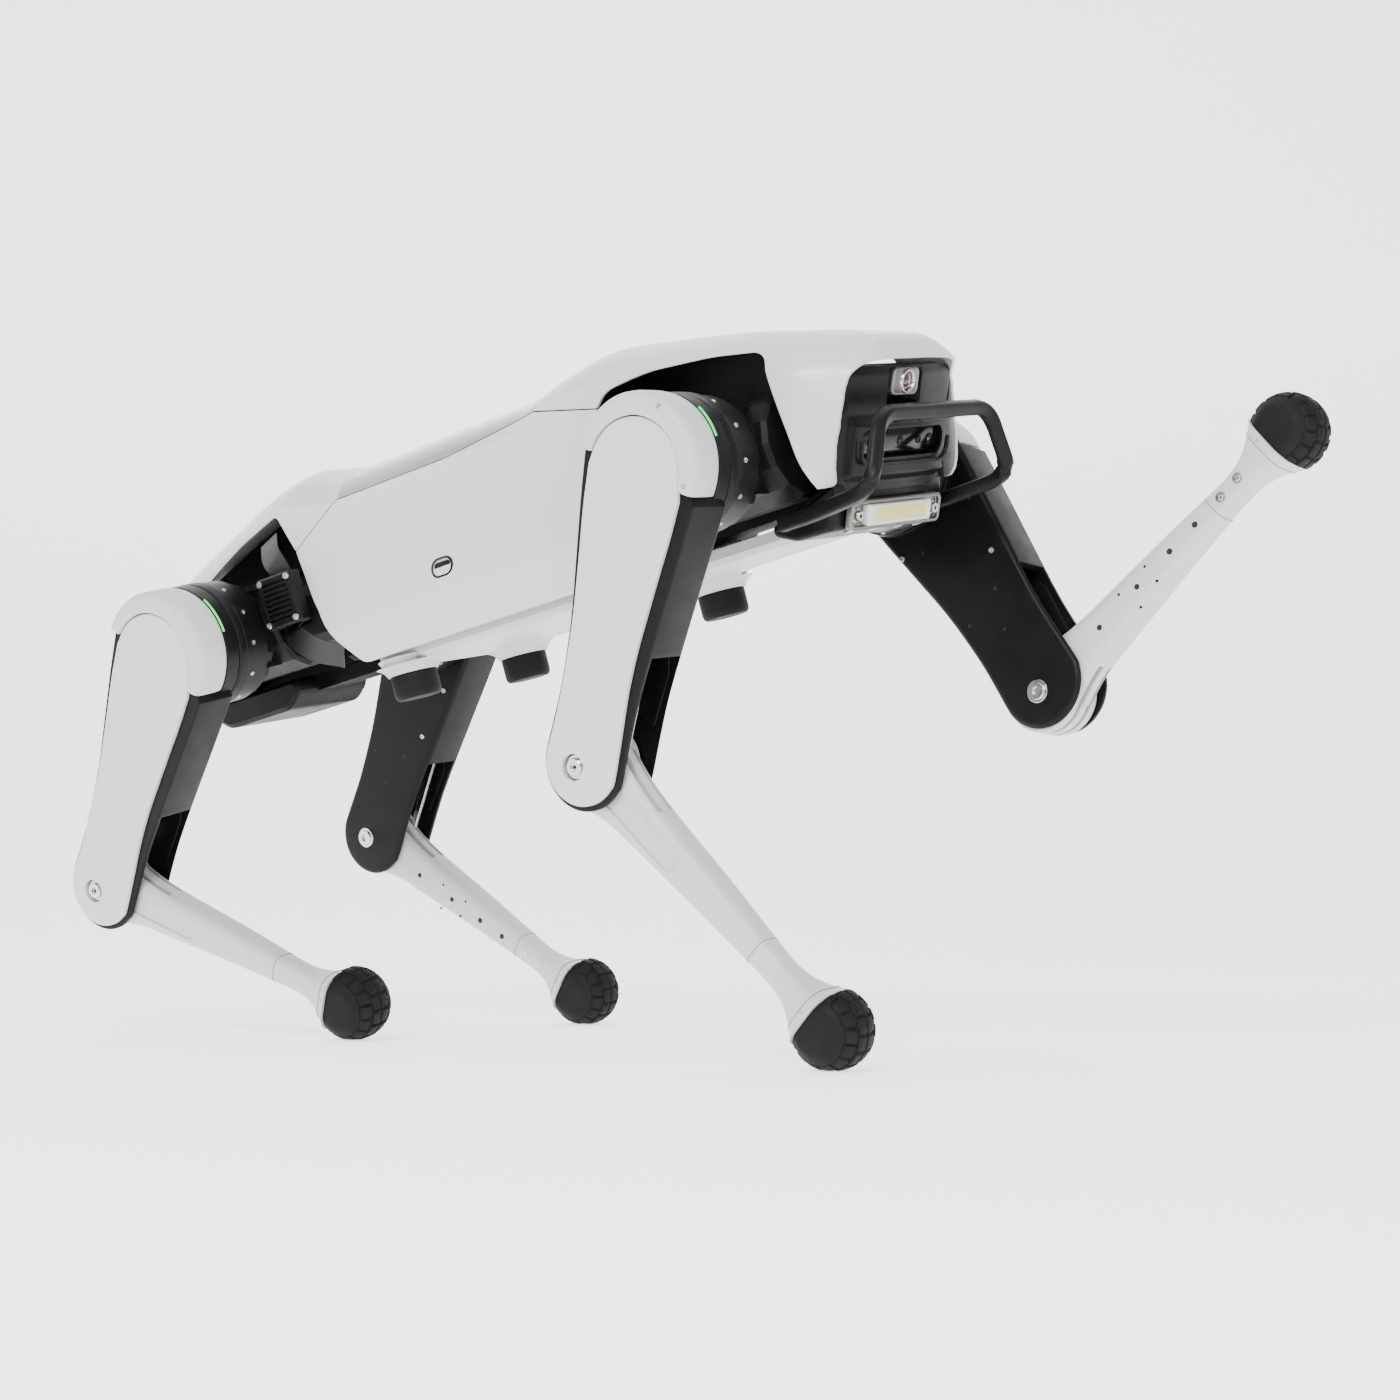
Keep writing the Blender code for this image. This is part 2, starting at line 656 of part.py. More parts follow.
def pushrod(leg, frame, side, mats):
    """The rod from the crank pin to the shank's lug, with a bearing eye at each end."""
    rod = rounded(rectangle(-0.0024, 0.0024, -THIGH_LENGTH, 0), 0.0005, 1)
    solid = prism(rod, ROD_SPAN[0] + 0.0004, ROD_SPAN[1] - 0.0004)
    obj = add_object(f"pushrod_{leg}", solid, frame, mats["steel"], side)
    for z, bore in ((0, PIN_RADIUS + GAP), (-THIGH_LENGTH, PIN_RADIUS + 2 * GAP)):
        modify(obj, "UNION", prism(circle((0, z), EYE_RADIUS, 12), *ROD_SPAN), side)
        modify(obj, "DIFFERENCE", prism(circle((0, z), bore, 10), -0.02, 0.02), side)


# Shank stations: height, front, rear and half thickness, in mm.
SHANK_STATIONS = (
    (-14, 27, -25, 13.2), (-36, 20.8, -18.5, 13.4), (-60, 17.4, -16, 13.6),
    (-130, 13.4, -11.5, 12.4), (-190, 9.3, -9.3, 10.3),
    (-206, 10.9, -10.7, 12.0), (-219, 15.6, -15.6, 16.6), (-230.5, 22.4, -22.4, 22.8),
)
SECTION_POWER = 0.62


def shank_section(z, front, rear, thick, count=10):
    """A rounded rectangular ring across the shank."""
    middle, half = (front + rear) / 2, (front - rear) / 2
    ring = []
    for i in range(count):
        a = 2 * math.pi * (i + 0.5) / count
        c, s = math.cos(a), math.sin(a)
        x = middle + half * math.copysign(abs(c) ** SECTION_POWER, c)
        y = thick * math.copysign(abs(s) ** SECTION_POWER, s)
        ring.append((x * MM, y * MM, z * MM))
    return ring


def shank(leg, frame, side, mats):
    """The white shank: three blades round the knee, a tapering tube and a flared collar."""
    solid = swept_rings([shank_section(*station) for station in SHANK_STATIONS])
    obj = add_object(f"shank_{leg}", solid, frame, mats["cap"], side)
    disc = prism(circle((0, 0), KNEE_DISC_RADIUS, 22), -SHANK_HALF, SHANK_HALF)
    modify(obj, "UNION", disc, side)
    slot = scaled([(-60, 60), (60, 60), (60, -64), (14, -60), (0, -42), (-60, -42)])
    for low, high in BLADE_SLOTS:
        modify(obj, "DIFFERENCE", prism(slot, low, high), side)
    lug = (CRANK_RADIUS * math.sin(CRANK_LEAD), -CRANK_RADIUS * math.cos(CRANK_LEAD))
    modify(obj, "UNION", prism(circle(lug, PIN_RADIUS, 12), 0.0020, 0.0090), side)
    modify(obj, "DIFFERENCE", prism(circle((0, 0), AXLE_RADIUS + GAP, 12), -0.03, 0.03), side)


# The foot's profile across the leg: radius and offset, in mm.
FOOT_PROFILE = (
    (15.0, -21.0), (20.5, -17.0), (24.8, -10.5), (26.5, -3.5), (26.5, 3.5), (24.8, 10.5), (20.5, 17.0),
    (15.0, 21.0),
)
FOOT_TOP = -0.2308


def foot(leg, frame, side, mats):
    """The rubber ball, cut by the shank's collar and pressed flat where it meets the ground."""
    profile = [(r * MM, y * MM) for r, y in FOOT_PROFILE]
    bm = turned(profile, (0, 0, -SHANK_LENGTH), "y", 20)
    everything = bm.verts[:] + bm.edges[:] + bm.faces[:]
    out = bmesh.ops.bisect_plane(
        bm, geom=everything, plane_co=(0, 0, FOOT_TOP), plane_no=(0, 0, 1), clear_outer=True
    )
    rim = [e for e in out["geom_cut"] if isinstance(e, bmesh.types.BMEdge)]
    bmesh.ops.contextual_create(bm, geom=rim)
    obj = add_object(f"foot_{leg}", bm, frame, mats["rubber"], side)
    bpy.context.view_layer.update()
    to_world = obj.matrix_world.copy()
    to_local = to_world.inverted()
    for vertex in obj.data.vertices:
        point = to_world @ vertex.co
        if point.z < 0:
            point.z = 0
            vertex.co = to_local @ point


def make_leg(leg, body, mats):
    side, end, roll, thigh_angle, knee_angle = LEGS[leg]
    hip = empty(f"hip_frame_{leg}", body, (end * HIP_X, side * ROLL_AXIS_Y, 0), (math.radians(roll), 0, 0))
    thigh = empty(f"thigh_axis_{leg}", hip, (0, side * HIP_OFFSET, 0), (0, -math.radians(thigh_angle), 0))
    knee = empty(f"knee_axis_{leg}", thigh, (0, 0, -THIGH_LENGTH), (0, -math.radians(knee_angle), 0))
    crank_angle = math.radians(knee_angle) + CRANK_LEAD
    crank = empty(f"crank_axis_{leg}", thigh, (0, 0, 0), (0, -crank_angle, 0))
    pin = (CRANK_RADIUS * math.sin(crank_angle), 0, -CRANK_RADIUS * math.cos(crank_angle))
    rod = empty(f"rod_axis_{leg}", thigh, pin)
    hip_bracket(leg, hip, side, mats)
    hip_motor(leg, hip, side, mats)
    for build in (thigh_frame, thigh_cover, thigh_cap, knee_axle):
        build(leg, thigh, side, mats)
    knee_crank(leg, crank, side, mats)
    pushrod(leg, rod, side, mats)
    shank(leg, knee, side, mats)
    foot(leg, knee, side, mats)


def make_materials():
    return {
        "white": material("white_shell", (0.80, 0.81, 0.82), 0.35),
        "cap": material("white_cast", (0.78, 0.79, 0.80), 0.40),
        "deck": material("grey_deck", (0.62, 0.64, 0.66), 0.25),
        "black": material("black_metal", (0.018, 0.018, 0.020), 0.45, 0.3),
        "face": material("black_mask", (0.020, 0.020, 0.022), 0.40),
        "frame": material("black_frame", (0.016, 0.016, 0.017), 0.42, 0.2),
        "motor": material("black_motor", (0.022, 0.022, 0.024), 0.50, 0.3),
        "rubber": material("black_rubber", (0.024, 0.024, 0.025), 0.70),
        "steel": material("steel", (0.60, 0.60, 0.61), 0.28, 1.0),
        "silver": material("silver_bracket", (0.50, 0.50, 0.48), 0.35, 0.8),
        "glass": material("camera_glass", (0.010, 0.010, 0.012), 0.08),
    }


def main():
    clear_scene()
    mats = make_materials()
    body = empty("body_frame", None, (BODY_X, BODY_Y, BODY_HEIGHT), (BODY_ROLL, -BODY_PITCH, 0))
    body_panels(body, mats)
    for build in (chassis, belly_tray, sensor_box, fan_module):
        build(body, mats)
    for build in (face_panel, cameras, light_bar, bumper_handle):
        build(body, mats)
    for leg in LEGS:
        make_leg(leg, body, mats)


main()
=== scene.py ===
"""Looks of the quadruped robot dog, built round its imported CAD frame.

Lengths are in metres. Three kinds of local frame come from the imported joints:
  body   x forward, y to the robot's left, z up, origin in the middle of the four hips;
  thigh  origin on the hip pitch axis, x forward, y outboard, z up along the limb;
  shank  origin on the knee axis, with the same directions along the shank.
The right-hand leg frames are mirrored, so one description serves both sides.
"""

import json
import math

import bmesh
import bpy
from mathutils import Matrix, Vector


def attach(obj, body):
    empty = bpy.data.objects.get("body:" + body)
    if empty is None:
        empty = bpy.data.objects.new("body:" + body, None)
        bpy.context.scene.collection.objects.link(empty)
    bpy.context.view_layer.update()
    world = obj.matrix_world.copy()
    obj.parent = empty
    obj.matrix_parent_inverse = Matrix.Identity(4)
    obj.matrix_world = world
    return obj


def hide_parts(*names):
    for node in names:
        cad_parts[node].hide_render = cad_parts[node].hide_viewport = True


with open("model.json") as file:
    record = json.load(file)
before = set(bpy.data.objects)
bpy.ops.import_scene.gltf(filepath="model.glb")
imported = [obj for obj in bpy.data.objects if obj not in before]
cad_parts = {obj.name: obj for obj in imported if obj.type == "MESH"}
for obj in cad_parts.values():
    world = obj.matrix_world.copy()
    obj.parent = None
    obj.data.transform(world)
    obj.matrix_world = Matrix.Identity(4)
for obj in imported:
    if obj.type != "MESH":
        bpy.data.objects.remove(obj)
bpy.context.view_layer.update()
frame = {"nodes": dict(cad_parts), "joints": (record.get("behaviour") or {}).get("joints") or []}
NODES = frame["nodes"]
JOINTS = {joint["name"]: joint for joint in frame["joints"]}

MM = 0.001
LEGS = {"fr": "front_right", "fl": "front_left", "rr": "rear_right", "rl": "rear_left"}
THIGH = 0.200
SHANK = 0.2407
CRANK_LEAD = math.radians(15)


# ---------------------------------------------------------------- frames


def from_axes(x, y, z, origin):
    matrix = Matrix((x, y, z)).transposed().to_4x4()
    matrix.translation = origin
    return matrix


def body_frame():
    hips = {leg: Vector(JOINTS[f"{name}_roll"]["pos_m"]) for leg, name in LEGS.items()}
    x = -Vector(JOINTS["front_right_roll"]["axis"]).normalized()
    y = (hips["fl"] + hips["rl"] - hips["fr"] - hips["rr"]).normalized()
    return from_axes(x, y, x.cross(y), sum(hips.values(), Vector()) / 4)


def leg_frames(leg):
    """The hip, thigh and shank frames of a leg; the hip frame has its origin at the thigh's."""
    name = LEGS[leg]
    side = 1 if leg.endswith("l") else -1
    hip = Vector(JOINTS[f"{name}_pitch"]["pos_m"])
    knee = Vector(JOINTS[f"{name}_knee"]["pos_m"])
    pin = Vector(JOINTS[f"{name}_rod_turn"]["pos_m"])
    left = -Vector(JOINTS[f"{name}_pitch"]["axis"]).normalized()
    up = (hip - knee).normalized()
    thigh = from_axes(left.cross(up), left * side, up, hip)
    crank = thigh.inverted() @ pin
    bend = math.atan2(crank.x, -crank.z) - CRANK_LEAD
    shank = thigh @ Matrix.Translation((0, 0, -THIGH)) @ Matrix.Rotation(-bend, 4, "Y")
    ahead = BODY.col[0].to_3d()
    return from_axes(ahead, left * side, ahead.cross(left), hip), thigh, shank


BODY = body_frame()
HIP_FRAME, THIGH_FRAME, SHANK_FRAME = {}, {}, {}
for leg_name in LEGS:
    HIP_FRAME[leg_name], THIGH_FRAME[leg_name], SHANK_FRAME[leg_name] = leg_frames(leg_name)

FACE_TURN = math.atan(0.47)


def face_at(height):
    """The frame on the leaning face: x out of the face, y left, z up along it."""
    place = Matrix.Translation((0.3265 + 0.47 * height, 0, height))
    return BODY @ place @ Matrix.Rotation(FACE_TURN, 4, "Y")


# ---------------------------------------------------------------- materials


def noise(tree, coords, scale, detail):
    node = tree.nodes.new("ShaderNodeTexNoise")
    node.inputs["Scale"].default_value = scale
    node.inputs["Detail"].default_value = detail
    tree.links.new(coords, node.inputs["Vector"])
    return node.outputs["Fac"]


def remap(tree, value, low, high, to_low, to_high):
    node = tree.nodes.new("ShaderNodeMapRange")
    for socket, number in zip(node.inputs[1:5], (low, high, to_low, to_high)):
        socket.default_value = number
    tree.links.new(value, node.inputs[0])
    return node.outputs[0]


def blend_colors(tree, factor, first, second):
    node = tree.nodes.new("ShaderNodeMix")
    node.data_type = "RGBA"
    tree.links.new(factor, node.inputs[0])
    for socket, value in ((node.inputs[6], first), (node.inputs[7], second)):
        if isinstance(value, tuple):
            socket.default_value = (*value, 1)
        else:
            tree.links.new(value, socket)
    return node.outputs[2]


def multiply(tree, first, second):
    node = tree.nodes.new("ShaderNodeMath")
    node.operation = "MULTIPLY"
    tree.links.new(first, node.inputs[0])
    tree.links.new(second, node.inputs[1])
    return node.outputs[0]


def edge_mask(tree, radius):
    """(mask, normal): how near a hard edge the surface is, and its normal rounded there."""
    soft = tree.nodes.new("ShaderNodeBevel")
    soft.samples = 4
    soft.inputs["Radius"].default_value = radius
    plain = tree.nodes.new("ShaderNodeNewGeometry")
    dot = tree.nodes.new("ShaderNodeVectorMath")
    dot.operation = "DOT_PRODUCT"
    tree.links.new(soft.outputs[0], dot.inputs[0])
    tree.links.new(plain.outputs["Normal"], dot.inputs[1])
    return remap(tree, dot.outputs["Value"], 0.995, 0.90, 0.0, 1.0), soft.outputs[0]


def surface(name, color, roughness, metallic=0.0, grain=900, bump=0.06, mottle=0.05,
            edge=None, radius=0.0007, spread=0.06, **sockets):
    """A material with grain, mottled colour, uneven gloss and, where asked, rounded edges painted lighter:
    partly wear, partly painted highlight.
    """
    mat = bpy.data.materials.new(name)
    mat.use_nodes = True
    tree = mat.node_tree
    shader = tree.nodes["Principled BSDF"]
    shader.inputs["Metallic"].default_value = metallic
    for socket, value in sockets.items():
        shader.inputs[socket.replace("_", " ")].default_value = value
    coords = tree.nodes.new("ShaderNodeTexCoord").outputs["Object"]
    broad = noise(tree, coords, 14, 4)
    dark = tuple(c * (1 - mottle) for c in color)
    light = tuple(min(c * (1 + mottle), 1) for c in color)
    tint = blend_colors(tree, broad, dark, light)
    fine = noise(tree, coords, grain, 3)
    relief = tree.nodes.new("ShaderNodeBump")
    relief.inputs["Strength"].default_value = bump
    relief.inputs["Distance"].default_value = 0.0004
    tree.links.new(fine, relief.inputs["Height"])
    # Where an edge colour is given, it goes on near hard edges, broken up by noise: a painted highlight
    # along the edges, with some wear.
    if edge:
        mask, normal = edge_mask(tree, radius)
        edge_wear_and_highlight = multiply(tree, mask, remap(tree, noise(tree, coords, 160, 4), 0.38, 0.62, 0.25, 1.0))
        tint = blend_colors(tree, edge_wear_and_highlight, tint, edge)
        tree.links.new(normal, relief.inputs["Normal"])
    tree.links.new(tint, shader.inputs["Base Color"])
    tree.links.new(relief.outputs[0], shader.inputs["Normal"])
    gloss = noise(tree, coords, 60, 5)
    rough = remap(tree, gloss, 0.3, 0.7, roughness - spread, roughness + spread)
    tree.links.new(rough, shader.inputs["Roughness"])
    return mat


def make_materials():
    matte = {"Specular_IOR_Level": 0.15}
    # The lighter edge colours below are painted highlights along the edges, with some wear mixed in.
    return {
        "shell": surface("shell_white", (0.60, 0.61, 0.625), 0.33, mottle=0.012, grain=700, bump=0.035,
                         edge=(0.68, 0.69, 0.70), radius=0.0009, Coat_Weight=0.25, Coat_Roughness=0.22),
        "cover": surface("cover_white", (0.585, 0.605, 0.625), 0.36, mottle=0.012, grain=900, bump=0.04,
                         Coat_Weight=0.15, Coat_Roughness=0.25),
        "cast": surface("cast_white", (0.54, 0.55, 0.56), 0.42, mottle=0.03, grain=1300, bump=0.10,
                        edge=(0.64, 0.65, 0.66), radius=0.0008),
        "deck": surface("deck_grey", (0.30, 0.325, 0.345), 0.18, mottle=0.02, grain=500, bump=0.02,
                        edge=(0.62, 0.64, 0.66), Coat_Weight=0.5, Coat_Roughness=0.08),
        "tub": surface("tub_black", (0.0035, 0.0035, 0.0038), 0.46, grain=1500, bump=0.10, mottle=0.2,
                       edge=(0.014, 0.014, 0.014), **matte),
        "mask": surface("mask_black", (0.0045, 0.0045, 0.0048), 0.34, grain=1800, bump=0.05, mottle=0.12,
                        edge=(0.022, 0.022, 0.021), radius=0.0006, **matte),
        "loop": surface("loop_black", (0.0050, 0.0050, 0.0052), 0.42, grain=1600, bump=0.10, mottle=0.12,
                        edge=(0.030, 0.030, 0.029), radius=0.0008, **matte),
        "frame": surface("frame_black", (0.0038, 0.0038, 0.0041), 0.40, grain=1700, bump=0.09, mottle=0.15,
                         edge=(0.026, 0.026, 0.026), radius=0.0009, **matte),
        "motor": surface("motor_black", (0.0045, 0.0045, 0.0048), 0.38, grain=1200, bump=0.06, mottle=0.15,
                         edge=(0.040, 0.040, 0.040), radius=0.0005, **matte),
        "rubber": surface("rubber_black", (0.0060, 0.0060, 0.0062), 0.62, grain=2200, bump=0.25, mottle=0.3,
                          edge=(0.020, 0.020, 0.019), radius=0.0008, **matte),
        "steel": surface("steel_bright", (0.62, 0.61, 0.60), 0.24, 1.0, grain=2600, bump=0.05, mottle=0.1,
                         edge=(0.8, 0.79, 0.78), radius=0.0003),
        "screw": surface("screw_zinc", (0.55, 0.55, 0.54), 0.32, 1.0, grain=3000, bump=0.08, mottle=0.15),
        "bracket": surface("bracket_silver", (0.20, 0.195, 0.18), 0.34, 0.85, grain=2000, bump=0.08,
                           mottle=0.12, edge=(0.62, 0.60, 0.56), radius=0.0008),
        "window": surface("window_black", (0.0018, 0.0018, 0.0022), 0.10, grain=400, bump=0.01, mottle=0.1,
                          spread=0.03, Specular_IOR_Level=0.3),
        "lens": surface("lens_purple", (0.09, 0.035, 0.055), 0.08, grain=300, bump=0.01, mottle=0.5,
                        spread=0.03, Coat_Weight=1.0, Coat_Roughness=0.03),
        "lens_green": surface("lens_green", (0.012, 0.05, 0.045), 0.10, grain=300, bump=0.01, mottle=0.5,
                              spread=0.03, Coat_Weight=1.0, Coat_Roughness=0.03),
        # Near-black discs laid where holes and sockets are: painted shade.
        "hole_shade": surface("painted_hole_shade", (0.004, 0.004, 0.004), 0.7, grain=2000, bump=0.1, mottle=0.2),
        "seam": surface("seam_grey", (0.20, 0.205, 0.21), 0.6, grain=2000, bump=0.1, mottle=0.2),
        "diffuser": surface("lamp_diffuser", (0.62, 0.63, 0.60), 0.22, grain=900, bump=0.05, mottle=0.06,
                            Coat_Weight=0.6, Coat_Roughness=0.08),
        "lamp": surface("lamp_yellow", (0.62, 0.56, 0.20), 0.35, grain=1600, bump=0.12, mottle=0.05,
                        Emission_Color=(1.0, 0.88, 0.35, 1), Emission_Strength=0.08),
        "green": surface("light_green", (0.05, 0.55, 0.12), 0.30, grain=900, bump=0.03, mottle=0.1,
                         Emission_Color=(0.02, 0.75, 0.12, 1), Emission_Strength=1.4),
        "ribbon": surface("ribbon_black", (0.0030, 0.0030, 0.0033), 0.34, grain=900, bump=0.08, mottle=0.2),
    }


# ---------------------------------------------------------------- curves and outlines


def scaled(points):
    return [tuple(v * MM for v in p) for p in points]


def arc(center, radius, start, end, count):
    step = (end - start) / (count - 1)
    angles = [math.radians(start + step * i) for i in range(count)]
    return [(center[0] + radius * math.cos(a), center[1] + radius * math.sin(a)) for a in angles]


def circle(center, radius, count=48):
    return arc(center, radius, 0, 360 * (count - 1) / count, count)


def block_outline(half, low, high, radius, steps=8):
    """A rounded rectangle, centred across."""
    corners = ((half - radius, low + radius, -90), (half - radius, high - radius, 0),
               (radius - half, high - radius, 90), (radius - half, low + radius, 180))
    out = []
    for x, z, start in corners:
        out += arc((x, z), radius, start, start + 90, steps)
    return out


def spline(points, per_span, closed=False):
    """A smooth curve through the points, in as many dimensions as they have."""
    points = [Vector(p) for p in points]
    count = len(points)
    out = []
    for i in range(count if closed else count - 1):
        if closed:
            p0, p1, p2, p3 = (points[(i + k) % count] for k in (-1, 0, 1, 2))
        else:
            p1, p2 = points[i], points[i + 1]
            p0 = points[i - 1] if i else p1 * 2 - p2
            p3 = points[i + 2] if i + 2 < count else p2 * 2 - p1
        for k in range(per_span):
            t = k / per_span
            out.append(0.5 * (2 * p1 + (p2 - p0) * t + (2 * p0 - 5 * p1 + 4 * p2 - p3) * t * t
                              + (3 * p1 - p0 - 3 * p2 + p3) * t ** 3))
    if not closed:
        out.append(points[-1])
    return out


def rounded(points, steps=6):
    """The outline of (x, z, corner radius) points with its corners rounded."""
    out = []
    for i, (x, z, radius) in enumerate(points):
        here = Vector((x, z))
        before = Vector(points[i - 1][:2]) - here
        after = Vector(points[(i + 1) % len(points)][:2]) - here
        a = here + before.normalized() * min(radius, before.length * 0.48)
        b = here + after.normalized() * min(radius, after.length * 0.48)
        for k in range(steps + 1):
            t = k / steps
            out.append(tuple(a * (1 - t) ** 2 + here * 2 * t * (1 - t) + b * t * t))
    return out


def ccw(points):
    pairs = zip(points, points[1:] + points[:1])
    turn = sum(a[0] * b[1] - b[0] * a[1] for a, b in pairs)
    return points if turn > 0 else points[::-1]


def inset(points, distance):
    out = []
    for i, corner in enumerate(points):
        here = Vector(corner)
        d0 = (here - Vector(points[i - 1])).normalized()
        d1 = (Vector(points[(i + 1) % len(points)]) - here).normalized()
        middle = Vector((-d0.y - d1.y, d0.x + d1.x)).normalized()
        out.append(tuple(here + middle * distance / max(middle.dot(Vector((-d0.y, d0.x))), 0.6)))
    return out


def edge_levels(low, high, round_low=0.0, round_high=0.0, steps=3):
    """(height, inset) levels of a plate with rounded end edges."""
    levels = []
    for k in range(steps + 1 if round_low else 0):
        a = math.pi / 2 * k / steps
        levels.append((low + round_low * (1 - math.cos(a)), round_low * (1 - math.sin(a))))
    levels = levels or [(low, 0.0)]
    if not round_high:
        return levels + [(high, 0.0)]
    for k in range(steps + 1):
        a = math.pi / 2 * k / steps
        levels.append((high - round_high * (1 - math.sin(a)), round_high * (1 - math.cos(a))))
    return levels


# ---------------------------------------------------------------- mesh building


def rings_mesh(rings, closed=False, caps=True):
    bm = bmesh.new()
    made = [[bm.verts.new(p) for p in ring] for ring in rings]
    count = len(rings[0])
    spans = list(zip(made, made[1:])) + ([(made[-1], made[0])] if closed else [])
    for a, b in spans:
        for i in range(count):
            j = (i + 1) % count
            bm.faces.new((a[i], a[j], b[j], b[i]))
    if caps and not closed:
        bm.faces.new(made[0][::-1])
        bm.faces.new(made[-1])
    bmesh.ops.recalc_face_normals(bm, faces=bm.faces)
    return bm


def plate(outline, low, high, round_low=0.0, round_high=0.0, steps=3):
    """An outline in x and z, extruded along y between two heights."""
    outline = ccw([tuple(p) for p in outline])
    rings = []
    for y, back in edge_levels(low, high, round_low, round_high, steps):
        ring = inset(outline, back) if back else outline
        rings.append([(x, y, z) for x, z in ring])
    return rings_mesh(rings)


def front_plate(outline, low, high, round_high=0.0, steps=3):
    """An outline in y and z, extruded along x, for pieces seen from the front."""
    bm = plate(outline, low, high, 0.0, round_high, steps)
    for vertex in bm.verts:
        vertex.co = (vertex.co.y, vertex.co.x, vertex.co.z)
    bmesh.ops.reverse_faces(bm, faces=bm.faces)
    return bm


def lathe(profile, axis="y", count=64, center=(0, 0, 0), caps=True):
    """A surface of (radius, height) points turned about an axis through the centre."""
    u, v, w = {"x": (1, 2, 0), "y": (0, 2, 1), "z": (0, 1, 2)}[axis]
    rings = []
    for radius, height in profile:
        ring = []
        for i in range(count):
            a = 2 * math.pi * i / count
            point = Vector(center)
            point[u] += radius * math.cos(a)
            point[v] += radius * math.sin(a)
            point[w] += height
            ring.append(point)
        rings.append(ring)
    return rings_mesh(rings, caps=caps)


def tube(path, section, closed=False, up=Vector((0, 0, 1))):
    """A section of (side, up) points swept along a path."""
    rings = []
    count = len(path)
    for i, here in enumerate(path):
        after = path[(i + 1) % count] if closed else path[min(i + 1, count - 1)]
        before = path[i - 1] if closed or i else path[0]
        along = (after - before).normalized()
        side = along.cross(up).normalized()
        over = side.cross(along)
        rings.append([here + side * s + over * t for s, t in section])
    return rings_mesh(rings, closed)


def combine(bm, operation, *others):
    """Joins, cuts or trims a closed mesh with others, in the same local frame."""
    parts = []
    for piece in (bm, *others):
        mesh = bpy.data.meshes.new("part")
        piece.to_mesh(mesh)
        piece.free()
        parts.append(bpy.data.objects.new("part", mesh))
        bpy.context.scene.collection.objects.link(parts[-1])
    for other in parts[1:]:
        modifier = parts[0].modifiers.new("combine", "BOOLEAN")
        modifier.operation = operation
        modifier.solver = "EXACT"
        modifier.object = other
    bpy.context.view_layer.update()
    evaluated = parts[0].evaluated_get(bpy.context.evaluated_depsgraph_get())
    result = bmesh.new()
    result.from_mesh(evaluated.to_mesh())
    evaluated.to_mesh_clear()
    for obj in parts:
        bpy.data.objects.remove(obj)
    return result


def add(name, bm, matrix, mat, body, stands_for=(), sharp=38):
    """Places a mesh made in a local frame, and makes it ride on its body."""
    bmesh.ops.transform(bm, matrix=matrix, verts=bm.verts)
    if matrix.determinant() < 0:
        bmesh.ops.reverse_faces(bm, faces=bm.faces)
    mesh = bpy.data.meshes.new(name)
    for face in bm.faces:
        face.smooth = True
    bm.to_mesh(mesh)
    bm.free()
    mesh.materials.append(MATS[mat])
    mesh.set_sharp_from_angle(angle=math.radians(sharp))
    obj = bpy.data.objects.new(name, mesh)
    bpy.context.scene.collection.objects.link(obj)
    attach(obj, body)
    if stands_for:
        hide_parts(*stands_for)
    return obj


def merged(meshes):
    """Several separate closed shapes as one mesh."""
    out = bmesh.new()
    for bm in meshes:
        mesh = bpy.data.meshes.new("part")
        bm.to_mesh(mesh)
        bm.free()
        out.from_mesh(mesh)
        bpy.data.meshes.remove(mesh)
    return out


def screw(radius, height, sink=0.4):
    """A round-headed socket screw standing on z = 0 along +y."""
    hole = radius * 0.45
    profile = [(radius, -height * sink), (radius, height * 0.6), (radius * 0.86, height), (hole, height),
               (hole * 0.9, height * 0.2)]
    return lathe(profile, "y", 20)


def placed(bm, matrix):
    bmesh.ops.transform(bm, matrix=matrix, verts=bm.verts)
    return bm


# ---------------------------------------------------------------- body shells

# Stations along the body: x, top height and half width, in mm.
STATIONS = (
    (-330, 49, 52), (-318, 60, 60), (-290, 69, 69), (-259, 77, 77), (-215, 88, 85), (-184, 97, 88),
    (-153, 102, 90), (-128, 97, 90), (-103, 93, 90), (-30, 93, 91), (60, 93, 91), (84, 95, 91),
    (108, 101, 90), (143, 105, 89), (180, 99, 88), (225, 90, 87), (262, 81, 86), (300, 69, 85),
    (326, 60, 83), (339, 54, 80), (344, 47, 77), (345.5, 37, 74),
)
# Half section: fraction of the half width, and drop below the top, in mm.
SHOULDER = ((0, 0), (0.4, 0), (0.62, 4.5), (0.8, 11.5), (0.92, 22), (0.97, 33))
# Lower half section: fraction of the half width, and height, in mm.
FLANK = ((1.03, 6), (1.09, -22), (0.95, -51))
SKIN = 0.0030
TUCK = 0.0006
# The front edge of the hood, which leans with the face, and the taper towards it.
EDGE_X = 0.3205
EDGE_LEAN = 0.34
TAPER = 0.18
TAPER_LENGTH = 0.045
TAPER_POWER = 1.8


def section(station):
    _, top, half = station
    upper = [(f * half, top - drop) for f, drop in SHOULDER]
    lowest = upper[-1][1] - 4
    side = upper + [(f * half, min(z, lowest - 3 * i)) for i, (f, z) in enumerate(FLANK)]
    whole = [(-y, z) for y, z in side[:0:-1]] + side
    return [tuple(p) for p in spline(whole, 4)]


def tapered(point):
    """The point drawn in towards the middle near the front edge of the hood."""
    behind = EDGE_X + EDGE_LEAN * point.z - point.x
    near = min(max(1 - behind / TAPER_LENGTH, 0), 1)
    return Vector((point.x, point.y * (1 - TAPER * near ** TAPER_POWER), point.z))


